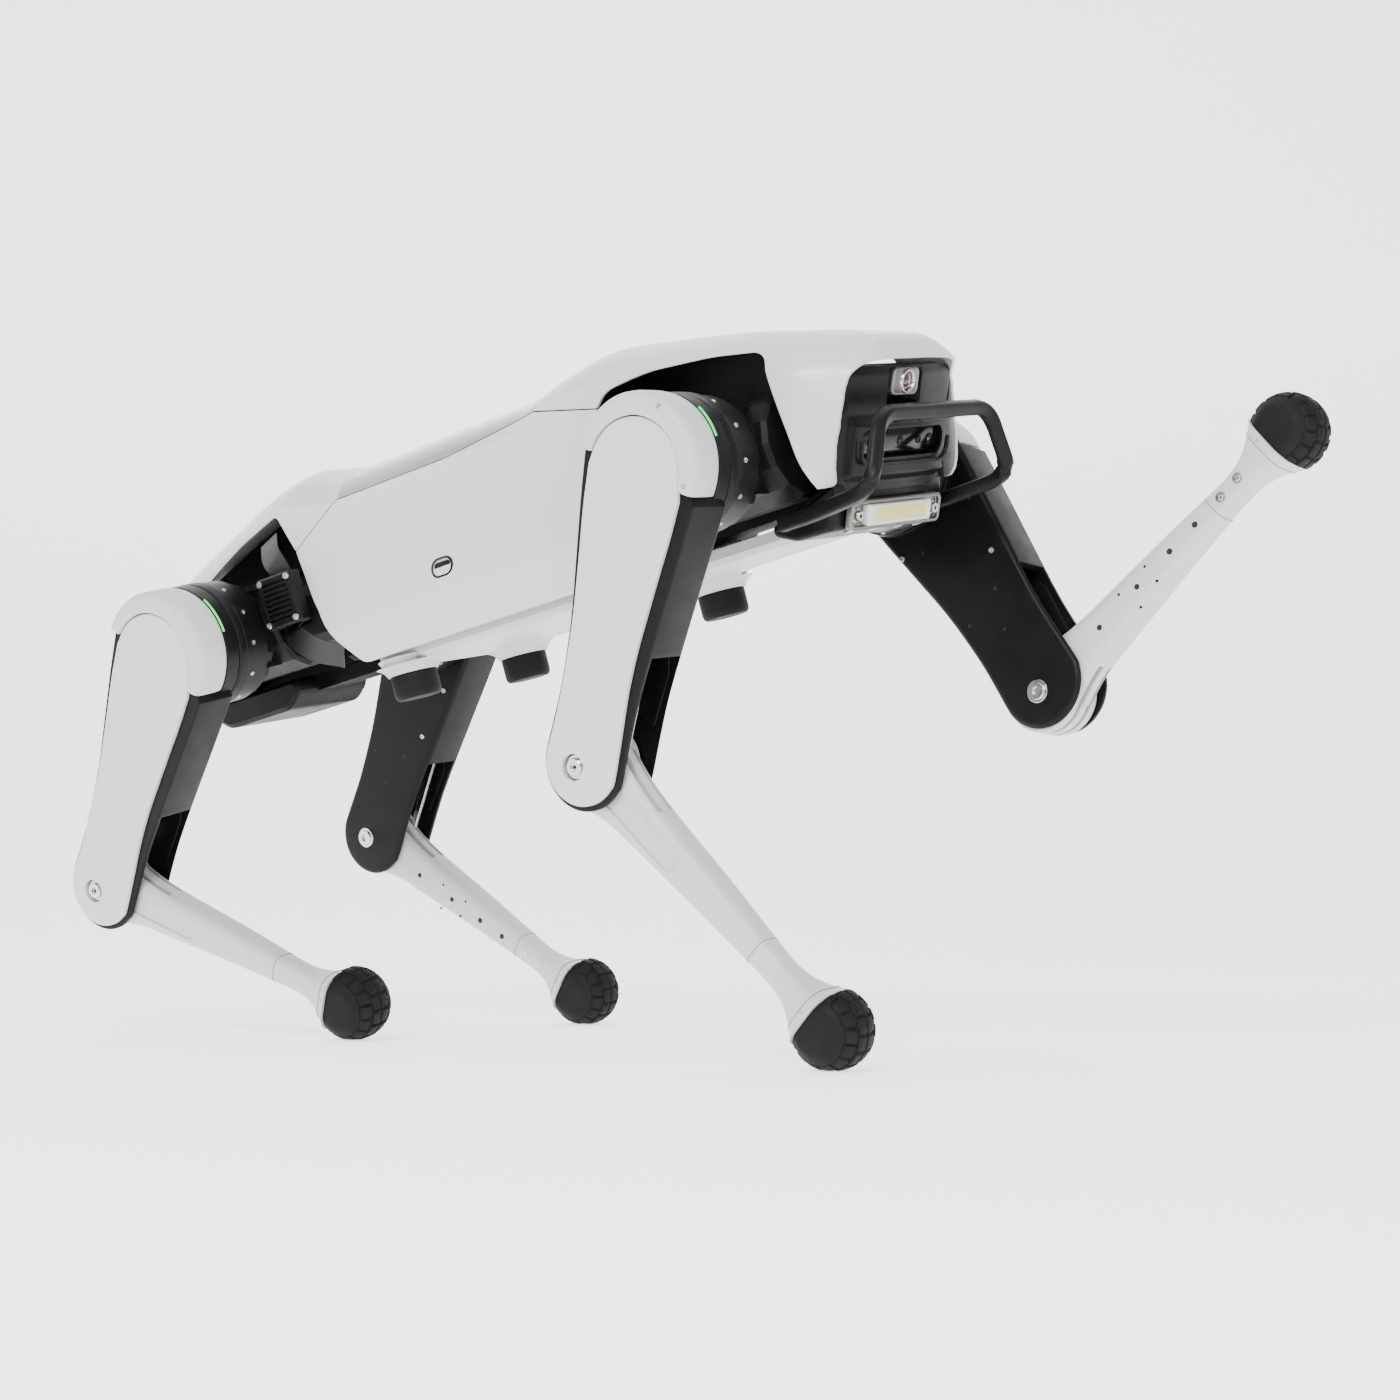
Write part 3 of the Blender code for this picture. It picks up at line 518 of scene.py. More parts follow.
def skin_rows(inward):
    rows = [[tapered(Vector((x, y, z)) * MM) for y, z in section((x, top, half))]
            for x, top, half in spline(STATIONS, 4)]
    out = []
    for i, row in enumerate(rows):
        moved = []
        for j, point in enumerate(row):
            along = rows[min(i + 1, len(rows) - 1)][j] - rows[max(i - 1, 0)][j]
            across = row[min(j + 1, len(row) - 1)] - row[max(j - 1, 0)]
            moved.append(point - along.cross(across).normalized() * inward)
        out.append(moved)
    return out


def body_shell(outline, y0, y1):
    """The body skin inside a side-view outline."""
    skin = rings_mesh([a + b[::-1] for a, b in zip(skin_rows(TUCK), skin_rows(SKIN))])
    return combine(skin, "INTERSECT", plate(outline, y0, y1))


def gap_outline(points):
    """Corner points (x, z, radius) in mm as an outline that leaves a fine seam round it."""
    return inset(ccw(rounded([(x * MM, z * MM, r * MM) for x, z, r in points])), 0.0004)


def shells():
    side = gap_outline(((-101, 69, 1), (8, 69, 6), (90, 78, 1), (148, 63, 1), (141, 30, 5), (131, -15, 5),
                        (116, -50, 3), (-112, -50, 5), (-124, -30, 4), (-140, 5, 5), (-148, 43, 1)))
    add("side_panel_right_skin", body_shell(side, -0.2, -0.01), BODY, "shell", "torso",
        ["side_panel_right"])
    add("side_panel_left_skin", body_shell(side, 0.01, 0.2), BODY, "shell", "torso",
        ["side_panel_left"])
    deck = gap_outline(((-101, 69, 1), (8, 69, 6), (90, 78, 1), (84, 130, 1), (-101, 130, 1)))
    add("top_deck_skin", body_shell(deck, -0.2, 0.2), BODY, "deck", "torso", ["top_deck"])
    front = gap_outline(((84, 130, 1), (90, 78, 1), (148, 63, 1), (157, 72, 8), (192, 75, 8), (240, 70, 8),
                         (274, 63, 5), (281, 57, 5), (297, -35, 1), (308, -36, 8), (320.5, 0, 8),
                         (331, 30, 6), (344, 37, 3), (350, 130, 1)))
    add("front_hood_skin", body_shell(front, -0.2, 0.2), BODY, "shell", "torso", ["front_hood"])
    rear = gap_outline(((-101, 130, 1), (-101, 69, 1), (-148, 43, 1), (-162, 73, 5), (-205, 62, 10),
                        (-246, 49, 10), (-283, 36, 8), (-345, 22, 1), (-345, 130, 1)))
    add("rear_hood_skin", body_shell(rear, -0.2, 0.2), BODY, "shell", "torso", ["rear_hood"])


def side_details():
    """The charging port on each side panel."""
    for side, name in ((-1, "right"), (1, "left")):
        across = BODY @ Matrix.Scale(side, 4, (0, 1, 0))
        slope = Matrix.Translation((-0.010, 0.0957, -0.004)) @ Matrix.Rotation(math.radians(11), 4, "X")
        rim = plate(block_outline(0.0104, -0.0072, 0.0072, 0.0071), -0.0030, 0.0005, 0.0, 0.0004)
        hole = plate(block_outline(0.0088, -0.0056, 0.0056, 0.0055), -0.0012, 0.0020)
        rim = placed(combine(rim, "DIFFERENCE", hole), slope)
        add(f"port_rim_{name}", rim, across, "window", "torso")
        plug = plate(block_outline(0.0078, -0.0026, 0.0044, 0.0030), -0.0020, -0.0004, 0.0, 0.0004)
        add(f"port_plug_{name}", placed(plug, slope), across, "mask", "torso")


# ---------------------------------------------------------------- head


def smoothstep(low, high, value):
    t = max(0.0, min(1.0, (value - low) / (high - low)))
    return t * t * (3 - 2 * t)


def band(value, low, high, blend):
    """1 between low and high, falling to 0 over the blend outside them."""
    return smoothstep(low - blend, low, value) * (1 - smoothstep(high, high + blend, value))


def mask_depth(y, z):
    """How far the face stands out at a place on it."""
    snout = band(z, -0.0345, -0.0030, 0.006) * (1 - smoothstep(0.0535, 0.0600, abs(y)))
    niche = band(z, 0.0115, 0.0310, 0.0020) * (1 - smoothstep(0.0180, 0.0200, abs(y)))
    channel = band(z, -0.001, 0.0120, 0.004) * (1 - smoothstep(0.0160, 0.0195, abs(y)))
    rim = smoothstep(0.059, 0.0665, abs(y)) + smoothstep(0.029, 0.035, z)
    dish = -0.0045 * (y / 0.0665) ** 2
    return -0.0042 + dish + 0.0050 * snout - 0.0080 * niche - 0.0025 * channel * (1 - snout) - 0.0016 * rim


def face_mask():
    columns, rows = 144, 94
    grid = []
    for i in range(rows):
        z = -0.047 + 0.083 * i / (rows - 1)
        line = []
        for j in range(columns):
            y = -0.0675 + 0.135 * j / (columns - 1)
            line.append(Vector((mask_depth(y, z), y, z)))
        back = [Vector((-0.0160, p.y, p.z)) for p in (line[-1], line[0])]
        grid.append(line + back)
    block = front_plate(block_outline(0.0665, -0.046, 0.035, 0.018), -0.030, 0.010)
    body = combine(rings_mesh(grid), "INTERSECT", block)
    window = front_plate(block_outline(0.0500, -0.0094, 0.0094, 0.0085), -0.0100, 0.0200)
    window = placed(window, Matrix.Translation((0, 0, -0.0145)))
    body = combine(body, "DIFFERENCE", window)
    add("face_mask", body, face_at(0), "mask", "torso", ["face_panel"])
    lip = [Vector((0.0012, y, z)) for y, z in block_outline(0.0520, -0.0275, -0.0020, 0.0100, 10)]
    lower = [p for p in lip if p.z < -0.0120]
    lower.sort(key=lambda p: p.y)
    ring = [(0.0013 * math.cos(a), 0.0016 * math.sin(a)) for a in (k * math.pi / 5 for k in range(10))]
    add("snout_lip", tube(lower, ring, up=Vector((1, 0, 0))), face_at(0), "loop", "torso")
    chin = rounded([(x * MM, z * MM, 0.004) for x, z in
                    ((246, -47), (246, -54), (262, -61), (292, -62), (299, -44), (303, -32), (291, -32))])
    add("chin", plate(chin, -0.066, 0.066, 0.004, 0.004), BODY, "mask", "torso")
    clips = []
    for y in (-0.040, -0.012, 0.020, 0.044):
        clip = plate(block_outline(0.0040, -0.0008, 0.0008, 0.0006), -0.0020, 0.0020, 0.0004, 0.0004)
        clips.append(placed(clip, Matrix.Translation((0.288, y, -0.0622))))
    add("chin_clips", merged(clips), BODY, "screw", "torso")


def head_camera():
    place = face_at(0.0225)
    bezel = front_plate(block_outline(0.0155, -0.0092, 0.0092, 0.0048), -0.0112, -0.0036, 0.0014)
    bore = lathe([(0.0083, -0.0090), (0.0083, 0.0100)], "x", 48)
    add("camera_bezel", combine(bezel, "DIFFERENCE", bore), place, "bracket", "torso", ["head_camera"])
    barrel = lathe([(0.0081, -0.0080), (0.0081, -0.0026), (0.0076, -0.0018), (0.0069, -0.0018),
                    (0.0064, -0.0026), (0.0062, -0.0046)], "x", 48)
    add("camera_barrel", barrel, place, "steel", "torso")
    glass = lathe([(0.0063, -0.0060), (0.0063, -0.0042), (0.0050, -0.0032), (0.0028, -0.0026),
                   (0.0004, -0.0024)], "x", 40)
    add("camera_lens", glass, place, "lens", "torso")


def stereo_camera():
    place = face_at(0) @ Matrix.Translation((0, 0, -0.0145))
    bar = front_plate(block_outline(0.0493, -0.0088, 0.0088, 0.0080), -0.0096, -0.0050, 0.0010)
    add("stereo_window", bar, place, "window", "torso", ["stereo_camera"])
    for i, (y, radius, mat) in enumerate(((0.0381, 0.0031, "lens_green"), (0.0254, 0.0029, "window"),
                                          (0.0030, 0.0034, "window"), (-0.0335, 0.0031, "window"))):
        ring = [(radius, -0.0055), (radius, -0.0046), (radius * 0.86, -0.0043), (radius * 0.62, -0.0046),
                (radius * 0.60, -0.0054)]
        seat = place @ Matrix.Translation((0, y, 0))
        add(f"stereo_ring_{i}", lathe(ring, "x", 32), seat, "mask", "torso")
        dome = [(radius * 0.58, -0.0056), (radius * 0.55, -0.0049), (radius * 0.3, -0.0045),
                (radius * 0.05, -0.0044)]
        add(f"stereo_lens_{i}", lathe(dome, "x", 32), seat, mat, "torso")


def work_light():
    place = face_at(-0.0550)
    base = front_plate(block_outline(0.0540, -0.0098, 0.0098, 0.0042), -0.0035, 0.0010, 0.0008)
    recess = front_plate(block_outline(0.0516, -0.0076, 0.0076, 0.0028), -0.0018, 0.0040)
    add("light_tray", combine(base, "DIFFERENCE", recess), place, "bracket", "torso", ["light_bar"])
    glass = front_plate(block_outline(0.0375, -0.0068, 0.0068, 0.0016), -0.0020, 0.0040, 0.0012)
    add("light_lens", glass, place, "diffuser", "torso")
    strip = front_plate(block_outline(0.0300, -0.0045, 0.0045, 0.0006), 0.0036, 0.0044, 0.0003)
    add("light_strip", strip, place, "lamp", "torso")
    for side in (-1, 1):
        seat = place @ Matrix.Translation((-0.0017, side * 0.0455, 0))
        seat = seat @ Matrix.Rotation(-math.pi / 2, 4, "Z")
        washer = lathe([(0.0050, -0.0002), (0.0050, 0.0008), (0.0047, 0.0010), (0.0030, 0.0010)], "y", 32)
        add(f"light_bolt_{side + 1}", merged([washer, screw(0.0036, 0.0042)]), seat, "screw", "torso")


# The left half of the handle's centre line, from its foot to the top corner.
HANDLE_HALF = (
    (0.262, 0.0745, -0.0485), (0.289, 0.0780, -0.0490), (0.342, 0.0860, -0.0460), (0.349, 0.0667, 0.0000),
)


def handle_path():
    half = [Vector(p) for p in HANDLE_HALF]
    corners = [Vector((p.x, -p.y, p.z)) for p in half] + half[::-1]
    out = [corners[0]]
    for before, here, after in zip(corners, corners[1:], corners[2:]):
        reach = min(0.016, (before - here).length * 0.45, (after - here).length * 0.45)
        a = here + (before - here).normalized() * reach
        b = here + (after - here).normalized() * reach
        out += [a * (1 - t) ** 2 + here * 2 * t * (1 - t) + b * t * t for t in (k / 8 for k in range(9))]
    return out + [corners[-1]]


def superellipse(half_x, half_y, power, count):
    out = []
    for k in range(count):
        a = 2 * math.pi * (k + 0.5) / count
        c, s = math.cos(a), math.sin(a)
        across = math.copysign(abs(c) ** power, c)
        out.append((half_x * across, half_y * math.copysign(abs(s) ** power, s)))
    return out


def bumper():
    section_points = superellipse(0.0050, 0.0050, 0.55, 28)
    bm = tube(handle_path(), section_points, up=Vector((0.6, 0, 1)))
    add("bumper_tube", bm, BODY, "loop", "torso", ["bumper_handle"])


# ---------------------------------------------------------------- under the body


def belly():
    for end, x in (("rear", -0.090), ("front", 0.102)):
        for side, name in ((-1, "right"), (1, "left")):
            profile = [(0.0166, -0.0640), (0.0171, -0.0655), (0.0171, -0.0780), (0.0166, -0.0808),
                       (0.0150, -0.0825), (0.0120, -0.0829), (0.0040, -0.0829)]
            center = (x, side * 0.062, 0)
            add(f"pad_{end}_{name}", lathe(profile, "z", 56, center), BODY, "rubber", "torso",
                [f"belly_pad_{end}_{name}"])
            flare = [(0.0255, -0.0574), (0.0225, -0.0590), (0.0200, -0.0615), (0.0184, -0.0645),
                     (0.0170, -0.0646)]
            add(f"pad_collar_{end}_{name}", lathe(flare, "z", 56, center), BODY, "cast", "torso")


# The centre line of the flat ribbon beside the cooler.
RIBBON_PATH = (
    (-0.172, -0.088, 0.058), (-0.168, -0.0945, 0.046), (-0.162, -0.0960, 0.034), (-0.160, -0.0905, 0.012),
    (-0.160, -0.0905, -0.004), (-0.163, -0.0960, -0.014), (-0.148, -0.0930, -0.030),
    (-0.130, -0.0850, -0.040),
)


def cooler():
    """Corner screws of the finned cooler, and its flat ribbon."""
    low, high = Vector((-0.1795, -0.105, -0.008)), Vector((-0.1440, -0.105, 0.030))
    heads = []
    for x in (low.x + 0.0038, high.x - 0.0038):
        for z in (low.z + 0.0038, high.z - 0.0038):
            turn = Matrix.Translation((x, low.y, z)) @ Matrix.Rotation(math.pi, 4, "Z")
            heads.append(placed(screw(0.0024, 0.0016), turn))
    add("cooler_screws", merged(heads), BODY, "screw", "torso")
    strip = [Vector(p) for p in RIBBON_PATH]
    flat = [(-0.0003, -0.010), (0.0003, -0.010), (0.0003, 0.010), (-0.0003, 0.010)]
    path = spline(strip, 8)
    add("cooler_ribbon", tube(path, flat, up=Vector((1, 0, 0.35))), BODY, "ribbon", "torso")


# ---------------------------------------------------------------- legs

FRAME_REAR = ((-44, -2), (-40, -33), (-34, -72), (-28.5, -110), (-26, -150), (-26.5, -175))
FRAME_FRONT = ((36, -165), (36.5, -142), (39, -112), (43, -72), (47, -32), (48.5, -14))
COVER_REAR = ((-36.4, -8), (-34, -36), (-29, -72), (-24.5, -110), (-22.6, -150), (-22.8, -175))
COVER_FRONT = ((31, -167), (29.5, -142), (29.8, -115), (31.8, -90), (34.3, -62), (36.8, -36), (38, -14))
FRAME_SPAN = (-0.0179, 0.0185)
COVER_OUT = 0.0229
CAVITY_HALF = 0.0153
CAP_CENTER_Z = -0.005
CAP_REACH = 0.0365


def limb_outline(rear, front, bottom, radius, top_center, top_radius, start, end):
    points = list(rear) + arc(bottom, radius, 174, 354, 13) + list(front)
    sides = spline(points, 4)
    return scaled([tuple(p) for p in sides] + arc(top_center, top_radius, start, end, 33))


def thigh_outline():
    return limb_outline(FRAME_REAR, FRAME_FRONT, (4.5, -195.5), 32.0, (0, 0), 43.5, -10, 174)


def cover_outline():
    return limb_outline(COVER_REAR, COVER_FRONT, (4.4, -195.5), 28.4, (0, -5), 35.7, 4, 176)


def thigh_shell(leg):
    """The hollow black thigh with bevelled edges and the slot for the shank."""
    outline = thigh_outline()
    bm = plate(outline, *FRAME_SPAN, 0.0040, 0.0012, 4)
    deep = [p for p in inset(ccw(outline), 0.0045) if p[1] > -0.140]
    slot = rounded([(x * MM, z * MM, r * MM) for x, z, r in (
        (-16, -105, 3), (22, -105, 3), (33, -116, 2), (80, -111, 1), (80, -240, 1), (0, -240, 1),
        (-16, -200, 3))])
    knee = (0, -THIGH)
    tools = [plate(deep, -CAVITY_HALF, CAVITY_HALF), plate(slot, -CAVITY_HALF, CAVITY_HALF),
             plate(circle(knee, 0.036, 64), -CAVITY_HALF, CAVITY_HALF),
             plate(circle(knee, 0.0058, 32), -0.03, 0.03)]
    bm = combine(bm, "DIFFERENCE", *tools)
    add(f"thigh_shell_{leg}", bm, THIGH_FRAME[leg], "frame", f"{LEGS[leg]}_thigh", [f"thigh_frame_{leg}"],
        30)


# The webs stand on the cavity's walls, clear of the shank's blades at every knee angle.
WEB_Y = 0.0148
WEB_HALF = 0.0006


def thigh_ribs(leg):
    """The webs inside the thigh's slot, the inner screws, and dark discs painted as the shade in the screw
    holes.
    """
    webs = []
    for y in (-WEB_Y, WEB_Y):
        corners = ((10, -106), (30, -117), (33, -130), (30, -165), (10, -160))
        web = rounded([(x * MM, z * MM, 0.001) for x, z in corners])
        webs.append(plate(web, y - WEB_HALF, y + WEB_HALF, 0.0003, 0.0003))
    add(f"thigh_webs_{leg}", merged(webs), THIGH_FRAME[leg], "frame", f"{LEGS[leg]}_thigh")
    inner = FRAME_SPAN[0]
    heads = []
    for x, z in ((34.5, -52), (-33.5, -52), (27, -96)):
        seat = Matrix.Translation((x * MM, inner, z * MM)) @ Matrix.Rotation(math.pi, 4, "Z")
        heads.append(placed(screw(0.0021, 0.0012), seat))
    add(f"thigh_screws_{leg}", merged(heads), THIGH_FRAME[leg], "screw", f"{LEGS[leg]}_thigh")
    holes = []
    # Dark discs just proud of the inner face: painted shade of screw holes.
    for x, z in ((-18, -60), (-17, -128), (4, -148), (14, -120)):
        seat = Matrix.Translation((x * MM, inner + 0.0006, z * MM))
        holes.append(placed(lathe([(0.0013, -0.0008), (0.0013, 0.0)], "y", 16), seat))
    add(f"thigh_holes_{leg}", merged(holes), THIGH_FRAME[leg], "hole_shade", f"{LEGS[leg]}_thigh")


def thigh_cover(leg):
    """The white cover: rounded edge, and two shallow facets that meet along a crease."""
    outline = ccw([tuple(p) for p in cover_outline()])
    low, top = FRAME_SPAN[1] + 0.0003, COVER_OUT - 0.0005
    rings = [[(x, y, z) for x, z in (inset(outline, back) if back else outline)]
             for y, back in edge_levels(low, top, 0.0, 0.0016, 5)]
    crease = (Vector((-0.006, -0.020)), Vector((0.002, -0.165)))
    span = crease[1] - crease[0]
    edge = inset(outline, 0.0016)
    for share in (0.33, 0.66, 0.97):
        ring = []
        for x, z in edge:
            t = max(0.0, min(1.0, (Vector((x, z)) - crease[0]).dot(span) / span.length_squared))
            near = crease[0] + span * t
            ring.append((x + (near.x - x) * share, top + 0.0005 * share, z + (near.y - z) * share))
        rings.append(ring)
    bm = rings_mesh(rings)
    bm = combine(bm, "DIFFERENCE", plate(circle((0, -THIGH), 0.0088, 48), 0.010, 0.030))
    add(f"thigh_cover_{leg}_skin", bm, THIGH_FRAME[leg], "cover", f"{LEGS[leg]}_thigh",
        [f"thigh_cover_{leg}"], 40)


def cap_ring(angle):
    """The cap's section at an angle round the drum, as points in the leg frame."""
    c, s = math.cos(angle), math.sin(angle)
    inner = CAP_CENTER_Z * s + math.sqrt(CAP_REACH ** 2 - (CAP_CENTER_Z * c) ** 2)
    low, high = FRAME_SPAN[1] + 0.0003, COVER_OUT + 0.0006
    outer = 0.0471
    points = [(inner, low), (inner, high - 0.0010), (inner + 0.0004, high - 0.0003),
              (inner + 0.0011, high),
              (outer - 0.0052, high), (outer - 0.0036, high - 0.0004), (outer - 0.0016, high - 0.0018),
              (outer - 0.0004, high - 0.0042), (outer, high - 0.0078), (outer, 0.0020),
              (outer - 0.0004, -0.0020),
              (outer - 0.0012, -0.0046), (0.0438, -0.0048), (0.0438, low)]
    return [Vector((r * c, y, r * s)) for r, y in points]


# Where the green light shows beside the cap, in degrees round the drum, front and rear legs.
GLOW_SPAN = {"f": (38, 66), "r": (45, 80)}


def thigh_cap(leg):
    count = 72
    angles = [math.radians(-10 + 190 * k / count) for k in range(count + 1)]
    rings = [cap_ring(a) for a in angles]
    ends = []
    for ring, toward in ((rings[0], 1), (rings[-1], -1)):
        middle = sum(ring, Vector()) / len(ring)
        ends.append([p + (middle - p) * 0.10 for p in ring])
    bm = rings_mesh([ends[0]] + [r for r in rings] + [ends[1]])
    add(f"thigh_cap_{leg}_skin", bm, THIGH_FRAME[leg], "cast", f"{LEGS[leg]}_thigh", [f"thigh_cap_{leg}"])
    heads = []
    for angle, radius in ((-3, 0.0418), (76, 0.0418)):
        a = math.radians(angle)
        seat = Matrix.Translation((radius * math.cos(a), COVER_OUT + 0.0002, radius * math.sin(a)))
        heads.append(placed(screw(0.0019, 0.0007), seat))
    add(f"cap_screws_{leg}", merged(heads), THIGH_FRAME[leg], "screw", f"{LEGS[leg]}_thigh")
    sleeve = [(0.0440, -0.0178), (0.0463, -0.0174), (0.0463, -0.0056), (0.0440, -0.0052)]
    add(f"drum_sleeve_{leg}", lathe(sleeve, "y", 96), THIGH_FRAME[leg], "frame", f"{LEGS[leg]}_thigh")
    start, stop = GLOW_SPAN[leg[0]]
    steps = [math.radians(start + (stop - start) * k / 24) for k in range(25)]
    glow = [Vector((0.0464 * math.cos(a), -0.0064, 0.0464 * math.sin(a))) for a in steps]
    ring = [(0.0011 * math.cos(a), 0.0007 * math.sin(a)) for a in (k * math.pi / 4 for k in range(8))]
    light = tube(glow, ring, up=Vector((0, 1, 0)))
    add(f"glow_{leg}", light, THIGH_FRAME[leg], "green", f"{LEGS[leg]}_thigh")


def hip_motor(leg):
    """The stepped housing, with a fine ring groove and screws round its rim."""
    step = -0.0300
    profile = [(0.0415, -0.0497), (0.0440, -0.0494), (0.0450, -0.0484), (0.0450, step - 0.0016),
               (0.0455, step - 0.0014), (0.0459, step - 0.0006), (0.0465, step), (0.0465, -0.0262),
               (0.0461, -0.0260), (0.0461, -0.0256), (0.0465, -0.0254), (0.0465, -0.0196), (0.0461, -0.0186),
               (0.0448, -0.0184), (0.0300, -0.0184)]
    add(f"motor_case_{leg}", lathe(profile, "y", 96), HIP_FRAME[leg], "motor", f"{LEGS[leg]}_hip",
        [f"hip_motor_{leg}"], 30)
    heads = []
    for k in range(12):
        turn = Matrix.Rotation(math.radians(30 * k + 12), 4, "Y")
        seat = turn @ Matrix.Translation((0.0450, -0.0345, 0)) @ Matrix.Rotation(-math.pi / 2, 4, "Z")
        heads.append(placed(screw(0.0017, 0.0009), seat))
    add(f"motor_screws_{leg}", merged(heads), HIP_FRAME[leg], "screw", f"{LEGS[leg]}_hip")


def knee_bolt(leg):
    """The stepped bolt head outboard, its washer and nut inboard."""
    inner, outer = FRAME_SPAN
    pin = lathe([(0.0055, inner - 0.0002), (0.0055, outer + 0.0003)], "y", 32)
    head = lathe([(0.0080, outer + 0.0002), (0.0080, outer + 0.0009), (0.0076, outer + 0.0012),
                  (0.0060, outer + 0.0012), (0.0060, outer + 0.0030), (0.0054, outer + 0.0035),
                  (0.0026, outer + 0.0035), (0.0024, outer + 0.0018)], "y", 6 * 8)
    nut = lathe([(0.0028, inner - 0.0008), (0.0030, inner - 0.0024), (0.0056, inner - 0.0024),
                 (0.0060, inner - 0.0019), (0.0061, inner - 0.0009), (0.0076, inner - 0.0009),
                 (0.0080, inner - 0.0006), (0.0080, inner - 0.0001)], "y", 48)
    place = THIGH_FRAME[leg] @ Matrix.Translation((0, 0, -THIGH))
    add(f"knee_bolt_{leg}", merged([pin, head, nut]), place, "steel", f"{LEGS[leg]}_thigh",
        [f"knee_axle_{leg}"], 30)
    # A dark disc at the bottom of the bolt head's recess: painted shade in the socket.
    seat = place @ Matrix.Translation((0, outer + 0.0019, 0))
    add(f"knee_socket_{leg}", lathe([(0.0012, -0.0004), (0.0012, 0.0004)], "y", 12), seat, "hole_shade",
        f"{LEGS[leg]}_thigh")


# Shank stations: height, front, rear and half thickness, in mm.
SHANK_STATIONS = (
    (-14, 27, -25, 13.2), (-36, 20.8, -18.5, 13.4), (-60, 17.4, -16, 13.6), (-95, 15.3, -13.6, 13.2),
    (-130, 13.4, -11.5, 12.4), (-160, 11.2, -10.2, 11.3), (-190, 9.3, -9.3, 10.3),
    (-206, 10.9, -10.7, 12.0), (-219, 15.6, -15.6, 16.6), (-230.5, 22.4, -22.4, 22.8),
)
BLADE_SLOTS = ((-0.0075, -0.0032), (0.0032, 0.0075))


def shank_ring(z, front, rear, thick, grow=0.0, count=40):
    points = superellipse((front - rear) / 2 + grow, thick + grow, 0.60, count)
    return [Vector(((front + rear) / 2 + x, y, z)) * MM for x, y in points]


def shank_station(z):
    """The shank's section at a height, between the two nearest stations."""
    rows = SHANK_STATIONS
    for a, b in zip(rows, rows[1:]):
        if b[0] <= z <= a[0]:
            t = (z - a[0]) / (b[0] - a[0])
            return tuple(p + (q - p) * t for p, q in zip(a, b))
    return rows[-1]


def shank_shell(leg):
    rings = [shank_ring(*station) for station in spline(SHANK_STATIONS, 5)]
    disc = plate(circle((0, 0), 0.0274, 72), -0.0140, 0.0140, 0.0010, 0.0010)
    bm = combine(rings_mesh(rings), "UNION", disc)
    slot = rounded([(x * MM, z * MM, r * MM) for x, z, r in (
        (-60, 60, 1), (60, 60, 1), (60, -66, 1), (13, -62, 8), (0, -42, 12), (-60, -42, 1))])
    tools = [plate(slot, *span) for span in BLADE_SLOTS]
    pocket = [(x, z - 0.010) for x, z in block_outline(0.0078, -0.086, 0.040, 0.0076)]
    tools.append(plate([(x + 0.001, z) for x, z in pocket], 0.0119, 0.030))
    tools.append(plate(circle((0, 0), 0.0058, 32), -0.03, 0.03))
    bm = combine(bm, "DIFFERENCE", *tools)
    add(f"shank_shell_{leg}", bm, SHANK_FRAME[leg], "cast", f"{LEGS[leg]}_shank", [f"shank_{leg}"],
        34)


def shank_details(leg):
    """Parting lines, the screw in the collar, and inboard the bolts and a row of dark discs painted as the
    shade in holes.
    """
    body = f"{LEGS[leg]}_shank"
    seams = []
    for z in (-172, -223):
        ring = [Vector(p) for p in shank_ring(*shank_station(z), grow=0.03)]
        section_points = [(-0.0002, -0.0002), (0.0002, -0.0002), (0.0002, 0.0002), (-0.0002, 0.0002)]
        seams.append(tube(ring, section_points, closed=True))
    add(f"shank_seams_{leg}", merged(seams), SHANK_FRAME[leg], "seam", body)
    holes, bolts = [], []
    # The holes are dark discs on the inner face: painted shade.
    for x, z, radius in ((0, -61, 2.0), (0, -99, 2.0), (0, -131.5, 2.2), (0, -156, 2.2), (6, -86, 1.0),
                         (-12.5, -92, 1.0), (6, -112, 1.0), (-8, -112, 1.0)):
        deep = -shank_station(z)[3] * MM
        disc = lathe([(radius * MM, 0.0006), (radius * MM, -0.00015)], "y", 24)
        holes.append(placed(disc, Matrix.Translation((x * MM, deep, z * MM))))
    add(f"shank_holes_{leg}", merged(holes), SHANK_FRAME[leg], "hole_shade", body)
    for z in (-181, -198):
        deep = -shank_station(z)[3] * MM
        turn = Matrix.Translation((0, deep, z * MM)) @ Matrix.Rotation(math.pi, 4, "Z")
        washer = lathe([(0.0036, -0.0006), (0.0036, 0.0005), (0.0024, 0.0006)], "y", 28)
        bolts.append(placed(merged([washer, screw(0.0023, 0.0011)]), turn))
    for side in (-1, 1):
        edge = Matrix.Translation((0.002, side * 0.0197, -0.2265))
        tilt = Matrix.Rotation(0 if side > 0 else math.pi, 4, "Z") @ Matrix.Rotation(-0.5, 4, "X")
        bolts.append(placed(screw(0.0020, 0.0010), edge @ tilt))
    add(f"shank_bolts_{leg}", merged(bolts), SHANK_FRAME[leg], "steel", body)


def tread(y, angle):
    """How far the rubber stands in from its outermost surface: a side ring, and staggered blocks."""
    across = abs(y) / 0.021
    if across > 0.80:
        return 0.0005
    row = int(across * 2.5)
    turn = angle * 7 / math.pi + (0.5 if row % 2 else 0.0)
    lengthwise = abs(turn - round(turn))
    crosswise = abs(across * 2.5 % 1.0 - 0.5)
    groove = max(smoothstep(0.13, 0.05, lengthwise), smoothstep(0.36, 0.44, crosswise))
    return 0.0019 * groove


